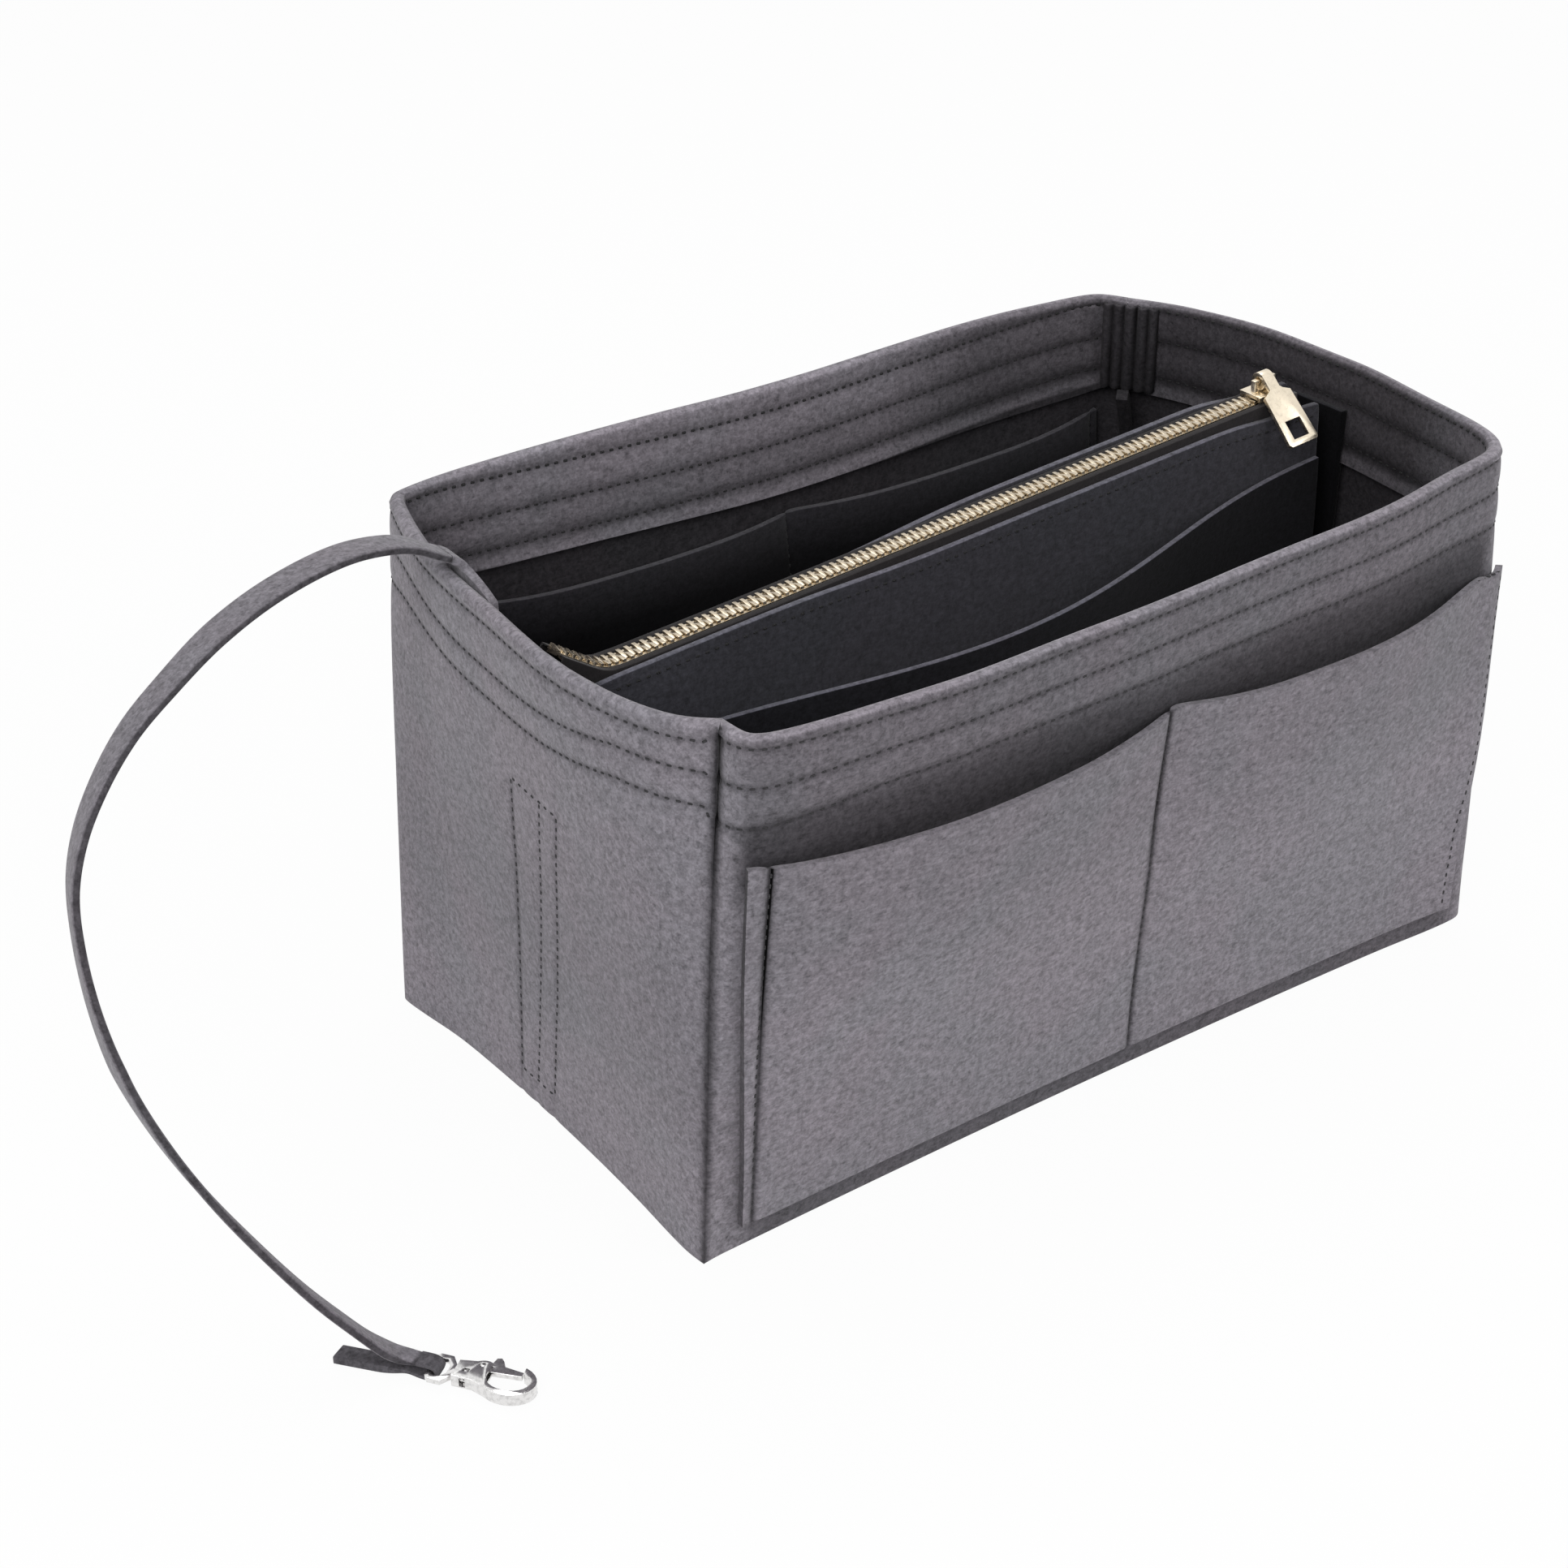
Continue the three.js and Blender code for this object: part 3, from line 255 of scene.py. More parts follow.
def strap_level(share):
    """The strap is sewn on level, and turns a little on its side where it hangs."""
    return Vector((strap_turn * max(0, 1 - ((share - strap_turn_middle) / strap_turn_reach) ** 2), 1, 0))


key_strap = felt_strip("key_strap_felt", strap_line,
                       lambda s: strap_width - (strap_width - tongue_width) * tongue(s),
                       lambda s: strap_felt - (strap_felt - tongue_felt) * tongue(s), strap_level)
# Painted shade on the faces turned to the front, mostly the near cut edge.
paint_light_and_shade(key_strap, lambda place, normal: -0.66 * eased((-normal.y - 0.35) / 0.35))
key_strap.data.materials.append(strap_grey)
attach(key_strap, "shell")
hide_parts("key_strap")

# The strap's end is turned through the clasp's eye and lies back under the strap, where it is sewn.
# The sewn end at the rim lies flat on the inside of the wall.
# Both are cut from the strap's own felt.
tail_from = Vector((-0.2225, -0.071, 0))
tail_along = Vector((-0.66, 0.75, 0)).normalized()
tail_side = Vector((0.75, 0.66, 0)).normalized()
tail_middle = 0.0008
tail_narrowing = 0.5
tail_start = 0.004
tail_easing = 0.006
fold_edge = 0.0003
sewn_edge = 0.0004
strap_end_painted_shade = -0.5


def picked(piece):
    """Selects one piece alone."""
    bpy.ops.object.select_all(action="DESELECT")
    piece.select_set(True)
    bpy.context.view_layer.objects.active = piece


def merged_copy(node, name):
    """A copy of a solid with its points merged and its faces made four-sided where they can be."""
    piece = bpy.data.objects.new(name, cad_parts[node].data.copy())
    bpy.context.collection.objects.link(piece)
    piece.data.materials.clear()
    picked(piece)
    bpy.ops.object.mode_set(mode="EDIT")
    bpy.ops.mesh.select_all(action="SELECT")
    bpy.ops.mesh.remove_doubles(threshold=0.000004)
    bpy.ops.mesh.tris_convert_to_quads(face_threshold=math.radians(35), shape_threshold=math.radians(180))
    bpy.ops.object.mode_set(mode="OBJECT")
    return piece


def take_modifiers(piece):
    """Applies what stands on the piece, in order."""
    bpy.context.view_layer.objects.active = piece
    for modifier in list(piece.modifiers):
        bpy.ops.object.modifier_apply(modifier=modifier.name)


def cut_edges(piece, width, segments=2, angle=40):
    """Takes the sharpness off every cut edge."""
    bevel = piece.modifiers.new("soft edge", "BEVEL")
    bevel.width = width
    bevel.segments = segments
    bevel.limit_method = "ANGLE"
    bevel.angle_limit = math.radians(angle)
    bevel.use_clamp_overlap = True
    take_modifiers(piece)


def smooth_cloth(piece, levels):
    smoother = piece.modifiers.new("smooth cloth", "SUBSURF")
    smoother.levels = smoother.render_levels = levels
    take_modifiers(piece)
    piece.data.shade_smooth()


def dressed(piece, body, slot, finish, *nodes):
    """Gives a piece its finish, and its place among the bodies."""
    piece.data.materials.append(finish)
    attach(piece, body)
    if nodes:
        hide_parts(*nodes)


strap_end = merged_copy("strap_end_fold", "strap_end_felt")
for vertex in strap_end.data.vertices:
    off = (vertex.co - tail_from).dot(tail_side) - tail_middle
    tail = eased(((vertex.co - tail_from).dot(tail_along) - tail_start) / tail_easing)
    vertex.co -= tail_side * off * tail * tail_narrowing
cut_edges(strap_end, fold_edge)
smooth_cloth(strap_end, 2)
# The turned end is painted darker all over, as shade.
paint_light_and_shade(strap_end, lambda place, normal: strap_end_painted_shade)
dressed(strap_end, "shell", "strap_felt", strap_grey, "strap_end_fold")
sewn_end = merged_copy("strap_sewn_end", "strap_sewn_felt")
cut_edges(sewn_end, sewn_edge)
smooth_cloth(sewn_end, 2)
dressed(sewn_end, "shell", "strap_felt", strap_grey, "strap_sewn_end")

# The clasp is a small die-cast lobster clasp with a swivelling eye, polished and nickel plated.
# Its gate is a stamped lever on a riveted pin, with a thumb tab.


def metal_finish(name, tone, roughness, tarnish):
    """Polished plate over a casting, with faint wear and ripple."""
    finish = bpy.data.materials.new(name)
    finish.use_nodes = True
    nodes, links = finish.node_tree.nodes, finish.node_tree.links
    plate = nodes["Principled BSDF"]
    plate.inputs["Metallic"].default_value = 1
    place = nodes.new("ShaderNodeTexCoord")
    uneven_tone = nodes.new("ShaderNodeTexNoise")
    uneven_tone.inputs["Scale"].default_value = 900
    uneven_tone.inputs["Detail"].default_value = 4
    links.new(place.outputs["Object"], uneven_tone.inputs["Vector"])
    polish = nodes.new("ShaderNodeMapRange")
    polish.inputs["To Min"].default_value = roughness * 0.7
    polish.inputs["To Max"].default_value = roughness * 1.4
    links.new(uneven_tone.outputs["Fac"], polish.inputs["Value"])
    links.new(polish.outputs[0], plate.inputs["Roughness"])
    shades = nodes.new("ShaderNodeValToRGB")
    shades.color_ramp.elements[0].position = 0.3
    shades.color_ramp.elements[0].color = (*[c * (1 - tarnish) for c in tone], 1)
    shades.color_ramp.elements[1].position = 0.55
    shades.color_ramp.elements[1].color = (*tone, 1)
    links.new(uneven_tone.outputs["Fac"], shades.inputs[0])
    links.new(shades.outputs[0], plate.inputs["Base Color"])
    ripple = nodes.new("ShaderNodeBump")
    ripple.inputs["Strength"].default_value = 0.12
    ripple.inputs["Distance"].default_value = 0.0001
    links.new(uneven_tone.outputs["Fac"], ripple.inputs["Height"])
    links.new(ripple.outputs[0], plate.inputs["Normal"])
    return finish


def flat_sides(piece):
    """Joins the triangles of each flat side into one face."""
    picked(piece)
    bpy.ops.object.mode_set(mode="EDIT")
    bpy.ops.mesh.select_all(action="SELECT")
    bpy.ops.mesh.dissolve_limited(angle_limit=math.radians(1))
    bpy.ops.object.mode_set(mode="OBJECT")


nickel = metal_finish("polished_nickel", (0.8, 0.79, 0.785), 0.14, 0.25)
for node, name, body, width in (("clasp_swivel_eye", "clasp_eye", "shell", 0.0004),
                                ("clasp_hook", "clasp_body", "clasp", 0.0006),
                                ("clasp_gate", "clasp_lever", "gate", 0.0002),
                                ("clasp_gate_pin", "clasp_rivet", "clasp", 0.00015)):
    metal = merged_copy(node, name)
    flat_sides(metal)
    cut_edges(metal, width, 3, 30)
    metal.data.shade_smooth()
    dressed(metal, body, "clasp_metal", nickel, node)

# The floor is a plain white sheet with soft studio light over it.
# It shows white to the camera and keeps a trace of the shadow.
floor_reach = 3
floor_drop = 0.0004
paper_grey = 0.9
paper_glow = 0.95
sky_level = 0.42


def any_ray(nodes, links, *kinds):
    """1 for a ray of any of the given kinds, and 0 for all others."""
    rays = nodes.new("ShaderNodeLightPath")
    found = rays.outputs[kinds[0]]
    for kind in kinds[1:]:
        either = nodes.new("ShaderNodeMath")
        either.operation = "MAXIMUM"
        links.new(found, either.inputs[0])
        links.new(rays.outputs[kind], either.inputs[1])
        found = either.outputs[0]
    return found


bpy.ops.object.select_all(action="DESELECT")
bpy.ops.mesh.primitive_plane_add(size=2 * floor_reach, location=(0, 0, -floor_drop))
floor = bpy.context.object
floor.name = "floor"
paper = bpy.data.materials.new("white_paper")
paper.use_nodes = True
nodes, links = paper.node_tree.nodes, paper.node_tree.links
nodes.clear()
out = nodes.new("ShaderNodeOutputMaterial")
matt = nodes.new("ShaderNodeBsdfDiffuse")
matt.inputs["Color"].default_value = (paper_grey, paper_grey, paper_grey, 1)
glow = nodes.new("ShaderNodeEmission")
share = nodes.new("ShaderNodeMath")
share.operation = "MULTIPLY"
share.inputs[1].default_value = paper_glow
links.new(any_ray(nodes, links, "Is Camera Ray", "Is Glossy Ray"), share.inputs[0])
both = nodes.new("ShaderNodeMixShader")
links.new(share.outputs[0], both.inputs[0])
links.new(matt.outputs[0], both.inputs[1])
links.new(glow.outputs[0], both.inputs[2])
links.new(both.outputs[0], out.inputs[0])
floor.data.materials.append(paper)

world = bpy.data.worlds.new("studio")
bpy.context.scene.world = world
world.use_nodes = True
nodes, links = world.node_tree.nodes, world.node_tree.links
sky = nodes["Background"]
sky.inputs["Color"].default_value = (1, 1, 1, 1)
seen = any_ray(nodes, links, "Is Camera Ray", "Is Transmission Ray", "Is Glossy Ray")
level = nodes.new("ShaderNodeMapRange")
level.inputs["To Min"].default_value = sky_level
level.inputs["To Max"].default_value = 1
links.new(seen, level.inputs["Value"])
links.new(level.outputs[0], sky.inputs["Strength"])


def lamp(name, place, aim, size, watts):
    """A square soft box."""
    light = bpy.data.lights.new(name, "AREA")
    light.energy = watts
    light.size = size
    box = bpy.data.objects.new(name, light)
    box.location = place
    box.rotation_euler = (Vector(aim) - Vector(place)).to_track_quat("-Z", "Y").to_euler()
    bpy.context.collection.objects.link(box)


lamp("key_light", (-1.3, -0.9, 1.3), (0, 0, 0.08), 0.9, 16)
lamp("front_light", (0.7, -1.5, 0.9), (0, 0, 0.08), 1.1, 8)
lamp("top_light", (0.2, 0.5, 1.7), (0, 0, 0.1), 1.0, 7)

# The shell is two L-shaped pieces of felt. Each goes round one corner as a fold and is sewn to the other
# at the two remaining corners. The rim is turned in, and three rows of stitches hold it, which draw
# grooves into both of its faces. The inner face is painted dark with shade, most of all below the hem.
rim_height = 0.160
front_rows = (0.0035, 0.0134, 0.0238)
left_rows = (0.0050, 0.0132, 0.0225)
right_rows = (0.0022, 0.0126, 0.0252)
back_rows = (0.0032, 0.0140, 0.0240)
back_row_sink = 0.0043
left_row_sink = (0, 0.0063, 0.0063)
front_row_sink = 0.0012
side_hem = 0.0285
front_hem = 0.03125
back_hem_sink = 0.0055
hem_lip = 0.0011
hem_edge = 0.0006
groove = 0.0007
groove_half = 0.0017
# Widths of the painted shade along the rows and in the valleys between them.
row_shade_width = 0.0012
valley_shade_width = 0.0034
corner_seams = (((0.1464, 0.0807), (0.1339, 0.0802)), ((-0.1413, -0.0758), (-0.1361, -0.0798)))
seam_bend = 1.2
# The width of the painted shade along the corner seams.
corner_seam_shade_width = 0.0017
seam_reach = 0.012
seam_closing = 0.00016
# For each row of the hook strip: its place at the foot, its slant, and the strength of its painted shade.
strip_rows = ((0.0185, 0.143, 0.4), (0.0105, 0.2115, 0.15), (0.0018, 0.212, 0.2))
strip_top = 0.112
strip_groove = 0.0004
strip_groove_half = 0.0016
soft_edge = 0.0005
unevenness = 0.0006
unevenness_seed = 3
held_foot = 0.02
# The painted shade of the inner face below the hem.
inner_shade_tone = 0.15
outer_grey = felt_finish("outer_felt", (0.212, 0.193, 0.218))
noise.seed_set(unevenness_seed)


def back_swell(place):
    """How far along the back's hollow a place lies: 1 at its middle and 0 at its ends."""
    return max(0, 1 - ((place.x + 0.004) / 0.118) ** 2)


def row_depth(place, row):
    """How far below the rim a row of stitches runs; it sinks along the back and the left end."""
    left_swell = max(0, 1 - ((place.y - 0.008) / 0.06) ** 2)
    left = left_rows[row] + left_row_sink[row] * left_swell
    back = back_rows[row] + back_row_sink * back_swell(place)
    if place.x < -0.1 and place.y > -0.07 or place.y > 0.07:
        back_share = eased((place.y - 0.05) / 0.035)
        ends = left if place.x < 0 else right_rows[row]
        return ends * (1 - back_share) + back * back_share
    if place.x < -0.138:
        return left
    right_share = eased((place.y + 0.084) / 0.02) * (place.x > 0.1)
    front = front_rows[row] + eased((-0.09 - place.x) / 0.04) * row * front_row_sink
    return front * (1 - right_share) + right_rows[row] * right_share


def hem_depth(place):
    """How far below the rim the turned-in hem ends."""
    if place.y > 0.07:
        return side_hem + back_hem_sink * back_swell(place)
    return side_hem if place.x < -0.12 else front_hem


def unevenly(piece):
    """Gives felt a slight waviness, the same for all that is sewn together and none at the foot."""
    for vertex in piece.data.vertices:
        broad = noise.noise_vector(vertex.co * 16) * 0.7
        fine = noise.noise_vector(vertex.co * 45 + Vector((3, 1, 2))) * 0.3
        move = (broad + fine) * unevenness * min(max(vertex.co.z / held_foot, 0), 1)
        vertex.co += Vector((move.x, move.y, 0))


def creased(piece, planes, depth=groove, half=groove_half, level=None, below=1.0):
    """Cuts three loops along each plane and draws the felt in along the middle one, up to a height.

    The level is how much a place is lifted while the loops are cut, so that they may follow a curve.
    """
    picked(piece)
    for place, facing in planes:
        if level:
            for vertex in piece.data.vertices:
                vertex.co.z += level(vertex.co)
        for step in (-half, 0, half):
            bpy.ops.object.mode_set(mode="EDIT")
            bpy.ops.mesh.select_all(action="SELECT")
            bpy.ops.mesh.bisect(plane_co=place + facing * step, plane_no=facing)
            bpy.ops.object.mode_set(mode="OBJECT")
        pressed = [(vertex, vertex.normal.copy()) for vertex in piece.data.vertices
                   if abs((vertex.co - place).dot(facing)) < 0.00002]
        if level:
            for vertex in piece.data.vertices:
                vertex.co.z -= level(vertex.co)
        for vertex, normal in pressed:
            normal.z = 0
            if normal.length > 0.3 and vertex.co.z < below:
                vertex.co -= normal.normalized() * depth


def fold_line(distance, width):
    """1 on a crease, falling softly to 0 beside it."""
    return math.exp(-(distance / width) ** 2)


def faces_inward(place, normal):
    return normal.x * -place.x + normal.y * -place.y > 0.25 * math.hypot(place.x, place.y)


def off_seam(place):
    """How far a place is from the nearer corner seam."""
    lean = (max(place.z, 0) / rim_height) ** seam_bend
    return min(math.hypot(place.x - foot[0] - (rim[0] - foot[0]) * lean,
                          place.y - foot[1] - (rim[1] - foot[1]) * lean) for foot, rim in corner_seams)


def hem_shade(place, below):
    """The painted tone of the turned-in hem: lit along the back, and in painted shade towards the right."""
    # Painted light near the front; painted shade at the left end, lower down and in the back-left corner.
    tone = 0.86 - 0.46 * eased((place.x - 0.025) / 0.06) - 0.13 * eased((0.075 - place.y) / 0.012)
    tone += 0.34 * eased((-0.03 - place.y) / 0.03) - 0.25 * eased((-0.09 - place.x) / 0.04)
    turn = fold_line(math.hypot(place.x + 0.1365, place.y - 0.0775), 0.0045)
    return tone * (1 - 0.25 * eased((below - 0.016) / 0.008)) * (1 - 0.6 * turn)


def inside_shade(place, below, rows):
    """Inner face: painted light on the hem and its lip, painted shade in its row valleys and below the hem.
    """
    valleys = max(fold_line(below - row_depth(place, row), valley_shade_width) for row in (1, 2))
    hem = eased((hem_depth(place) + hem_edge - below) / hem_edge)
    lip = eased((below - row_depth(place, 2) - 0.001) / 0.003)
    tone = (hem_shade(place, below) + 0.22 * lip) * (1.06 - 0.3 * valleys * (1 - lip)) * (1 - 0.35 * rows)
    return tone * hem + inner_shade_tone * (1 - hem)


def front_shade(place, below):
    """The outer face of the front: painted shade below its rows and in the mouths of its pockets."""
    painted_shade_mask = eased((place.x + 0.137) / 0.005) * (1 - eased((place.x - 0.128) / 0.012))
    if place.z < 0.116:
        painted_shade_mask = 0.6 * eased((place.x + 0.132) / 0.01) * (1 - eased((place.x - 0.134) / 0.008))
    tone = 0.95 + 0.05 * eased((place.x - 0.138) / 0.01)
    return tone - painted_shade_mask * (0.31 + 0.38 * eased((below - 0.02) / 0.010))


def left_end_shade(place):
    """Left end: paler at the foot, darker at mid height, painted shade along the strip's rows."""
    uneven_tone = 0.13 * eased((0.05 - place.z) / 0.04) - 0.08 * fold_line(place.z - 0.07, 0.03)
    through = 0
    if 0.006 < place.z < strip_top:
        through = max(dark * fold_line(place.y - foot + slant * place.z, row_shade_width)
                      for foot, slant, dark in strip_rows)
    return (1 + uneven_tone) * (1 - through)


# Painted shade along rows and seams; a painted highlight on the rim, with a painted dark line at the back.
def wall_shade(place, normal):
    below = rim_height - place.z
    rows = max(fold_line(below - row_depth(place, row), row_shade_width) for row in range(3))
    rim = eased((normal.z - 0.3) / 0.4) * eased((place.z - 0.15) / 0.005)
    if place.y > 0.07:
        rim *= 1 - 2.2 * fold_line(normal.y - 0.5, 0.28)
    if faces_inward(place, normal):
        return inside_shade(place, below, rows) - 1 + 0.4 * rim
    seam_shade_strength = 0.74 + 0.14 * eased((place.z - 0.112) / 0.012)
    seam = seam_shade_strength * fold_line(off_seam(place), corner_seam_shade_width)
    if place.y < -0.06 and place.x > -0.136:
        return front_shade(place, below) * (1 - 0.35 * rows) * (1 - seam) - 1 + 0.5 * rim
    tone = left_end_shade(place) if place.x < -0.13 else 1
    return tone * (1 - 0.38 * rows) * (1 - seam) - 1 + 0.16 * rim


def lengthen_hem(wall):
    """Brings the lower lip of the turned-in hem a little further into the bag."""
    for edge in wall.data.edges:
        ends = [wall.data.vertices[i] for i in edge.vertices]
        flat = (ends[0].co - ends[1].co).length < 0.003 and abs(ends[0].co.z - ends[1].co.z) < 0.0001
        if flat and 0.122 < ends[0].co.z < 0.134:
            outer_end, inner_end = sorted(ends, key=lambda v: -math.hypot(v.co.x, v.co.y))
            inner_end.co += (inner_end.co - outer_end.co).normalized() * hem_lip


def close_seam(wall):
    """Brings a wall's sewn ends up against the other wall."""
    sewn_ends = {}
    for face in wall.data.polygons:
        if off_seam(face.center) < seam_reach and face.normal.x * face.normal.y < -0.3:
            for index in face.vertices:
                sewn_ends[index] = face.normal.copy()
    for index, towards in sewn_ends.items():
        wall.data.vertices[index].co += towards * seam_closing


walls = []
for node, name in (("back_left_wall", "back_left_felt"), ("front_right_wall", "front_right_felt")):
    wall = merged_copy(node, name)
    lengthen_hem(wall)
    close_seam(wall)
    for row in range(3):
        creased(wall, [(Vector((0, 0, rim_height)), Vector((0, 0, 1)))],
                level=lambda place, row=row: row_depth(place, row))
    if name == "back_left_felt":
        strip_planes = [(Vector((0, foot, 0)), Vector((0, 1, slant)).normalized())
                        for foot, slant, dark in strip_rows]
        creased(wall, strip_planes, strip_groove, strip_groove_half, below=strip_top)
    cut_edges(wall, soft_edge, angle=60)
    smooth_cloth(wall, 2)
    unevenly(wall)
    paint_light_and_shade(wall, wall_shade)
    dressed(wall, "shell", "felt_outer", outer_grey, node)
    walls.append(wall)

# The stitches are lockstitch in dark polyester thread, about eight to the inch, each pulled a little into
# the felt. Three rows hold the hem, and they show on both faces of it.
stitch_pitch = 0.0031
stitch_length = 0.0020
thread_thick = 0.0008
top_thread_thick = 0.001
thread_sunk = 0.00012
hem_middle = 0.143
hem_reach = 0.016
stitch_shape = ((-0.5, 0.35, -0.45), (-0.25, 1, 0), (0.25, 1, 0), (0.5, 0.35, -0.45))


def thread_finish(name, dark, light):
    """Twisted polyester thread."""
    finish = bpy.data.materials.new(name)
    finish.use_nodes = True
    nodes, links = finish.node_tree.nodes, finish.node_tree.links
    strand = nodes["Principled BSDF"]
    strand.inputs["Roughness"].default_value = 0.8
    place = nodes.new("ShaderNodeTexCoord")
    ply = nodes.new("ShaderNodeTexWave")
    ply.bands_direction = "DIAGONAL"
    ply.inputs["Scale"].default_value = 900
    links.new(place.outputs["Object"], ply.inputs["Vector"])
    shades = nodes.new("ShaderNodeValToRGB")
    shades.color_ramp.elements[0].color = (dark, dark * 0.95, dark * 1.05, 1)
    shades.color_ramp.elements[1].color = (light, light * 0.95, light * 1.05, 1)
    links.new(ply.outputs["Fac"], shades.inputs[0])
    links.new(shades.outputs[0], strand.inputs["Base Color"])
    twist = nodes.new("ShaderNodeBump")
    twist.inputs["Distance"].default_value = 0.0001
    links.new(ply.outputs["Fac"], twist.inputs["Height"])
    links.new(twist.outputs[0], strand.inputs["Normal"])
    return finish


grey_thread = thread_finish("grey_thread", 0.012, 0.036)
black_thread = thread_finish("black_thread", 0.004, 0.012)


def sewn(name, body, slot, lines, thread=grey_thread, thick=thread_thick):
    """One mesh of stitches, laid along lines on cloth; a line is a list of (place, normal)."""
    points, faces = [], []
    for line in lines:
        path = [place for place, normal in line]
        if len(path) < 2:
            continue
        count = max(int(line_length(path) / stitch_pitch), 1)
        even = spaced(path, count * 2)
        for i in range(count):
            centre = even[2 * i + 1].copy()
            nearest = min(range(len(line)), key=lambda k: (line[k][0] - centre).length_squared)
            normal = line[nearest][1]
            run = (even[2 * i + 2] - even[2 * i]).normalized()
            across = run.cross(normal).normalized()
            rise = across.cross(run)
            centre -= rise * thread_sunk
            first = len(points)
            for along, girth, lift in stitch_shape:
                for k in range(6):
                    turn = k * math.pi / 3
                    points.append(centre + run * along * stitch_length + rise * lift * thick
                                  + (across * math.cos(turn) + rise * math.sin(turn)) * girth * thick / 2)
            for ring in range(3):
                for k in range(6):
                    a = first + ring * 6 + k
                    b = first + ring * 6 + (k + 1) % 6
                    faces.append((a, b, b + 6, a + 6))
            faces.append(tuple(first + k for k in range(5, -1, -1)))
            faces.append(tuple(first + 18 + k for k in range(6)))
    data = bpy.data.meshes.new(name)
    data.from_pydata(points, [], faces)
    mesh = bmesh.new()
    mesh.from_mesh(data)
    bmesh.ops.recalc_face_normals(mesh, faces=mesh.faces)
    mesh.to_mesh(data)
    mesh.free()
    piece = bpy.data.objects.new(name, data)
    bpy.context.collection.objects.link(piece)
    data.shade_smooth()
    dressed(piece, body, slot, thread)
    return piece


def surface_of(piece):
    mesh = bmesh.new()
    mesh.from_mesh(piece.data)
    tree = BVHTree.FromBMesh(mesh)
    mesh.free()
    return tree


def laid_on(tree, places, looking, reach=0.03):
    """The given places moved along a direction onto cloth, each with the cloth's normal."""
    line = []
    for i, place in enumerate(places):
        aim = looking[i] if isinstance(looking, list) else looking
        hit, normal, index, distance = tree.ray_cast(place - aim * reach / 2, aim, reach)
        if hit:
            line.append((hit, normal))
    return line


def level_runs(piece, z):
    """The felt's outline at one height, as one run for its outer and one for its inner face."""
    mesh = bmesh.new()
    mesh.from_mesh(piece.data)
    everything = mesh.verts[:] + mesh.edges[:] + mesh.faces[:]
    bmesh.ops.bisect_plane(mesh, geom=everything, plane_co=(0, 0, z), plane_no=(0, 0, 1),
                           clear_inner=True, clear_outer=True)
    mesh.verts.ensure_lookup_table()
    at = mesh.verts[0]
    came = None
    loop = []
    while True:
        loop.append(at.co.copy())
        ways = [edge for edge in at.link_edges if edge is not came]
        came = ways[0]
        at = came.other_vert(at)
        if at is mesh.verts[0] or len(loop) > len(mesh.verts):
            break
    mesh.free()
    area = sum(a.x * b.y - b.x * a.y for a, b in zip(loop, loop[1:] + loop[:1]))
    if area < 0:
        loop.reverse()
    loop = spaced(loop + loop[:1], 900)[:-1]
    marked = []
    for i, place in enumerate(loop):
        run = (loop[(i + 2) % len(loop)] - loop[i - 2]).normalized()
        normal = Vector((run.y, -run.x, 0))
        marked.append((place, normal, faces_inward(place, normal)))
    start = next(i for i in range(len(marked)) if marked[i][2] != marked[i - 1][2])
    marked = marked[start:] + marked[:start]
    stop = next(i for i in range(1, len(marked)) if marked[i][2] != marked[i - 1][2])
    return marked[3:stop - 3], marked[stop + 3:-3]


hem_lines = {"outside": [], "inside": [], "inside_top": []}
for wall in walls:
    surface = surface_of(wall)
    for run in level_runs(wall, hem_middle):
        for row in range(3):
            places = [Vector((p.x, p.y, rim_height - row_depth(p, row))) for p, n, inner in run]
            side = "outside" if not run[0][2] else "inside" if row else "inside_top"
            hem_lines[side].append(laid_on(surface, places, [-n for p, n, inner in run], hem_reach))
sewn("hem_stitches_outside", "shell", "felt_outer", hem_lines["outside"])
sewn("hem_stitches_inside", "shell", "felt_outer", hem_lines["inside"], black_thread)
sewn("hem_stitches_inside_top", "shell", "felt_outer", hem_lines["inside_top"], black_thread,
     top_thread_thick)

# The hook strip on the left wall is sewn through it, and its rows show outside as a long rectangle.
# The felt is drawn in along them.
strip_foot = 0.009
outside_left = -0.147
through_wall = 0.05


def steps(low, high, count):
    """Values from low to high, both of them included, a given count of even steps apart."""
    return [low + (high - low) * i / count for i in range(count + 1)]


surface = surface_of(walls[0])
sideways = Vector((1, 0, 0))
rows_through = []
for foot, slant, dark in strip_rows:
    places = [Vector((outside_left, foot - slant * z, z)) for z in steps(strip_foot, strip_top, 60)]
    rows_through.append(laid_on(surface, places, sideways, through_wall))
first, last = strip_rows[0], strip_rows[-1]
for z in (strip_foot, strip_top):
    left_y, right_y = first[0] - first[1] * z, last[0] - last[1] * z
    places = [Vector((outside_left, y, z)) for y in steps(left_y, right_y, 12)]
    rows_through.append(laid_on(surface, places, sideways, through_wall))
sewn("strip_stitches", "shell", "felt_outer", rows_through)

# The seam allowances stand into the two sewn corners, face to face, and are trimmed short below the rim.
# They are raw cut edges of the same felt.
trimmed_above = 0.12
for node, name, trimmed in (("back_right_seam", "back_right_allowance", 0.3),
                            ("front_left_seam", "front_left_allowance", 0.45)):
    allowance = merged_copy(node, name)
    for vertex in allowance.data.vertices:
        if vertex.co.z > trimmed_above:
            vertex.co.z = trimmed_above + (vertex.co.z - trimmed_above) * trimmed
    cut_edges(allowance, soft_edge)
    smooth_cloth(allowance, 2)
    # The allowances are painted dark with shade, a little lighter on faces turned up.
    paint_light_and_shade(allowance, lambda place, normal: -0.93 + 0.1 * eased((normal.z - 0.3) / 0.4))
    dressed(allowance, "shell", "felt_outer", outer_grey, node)

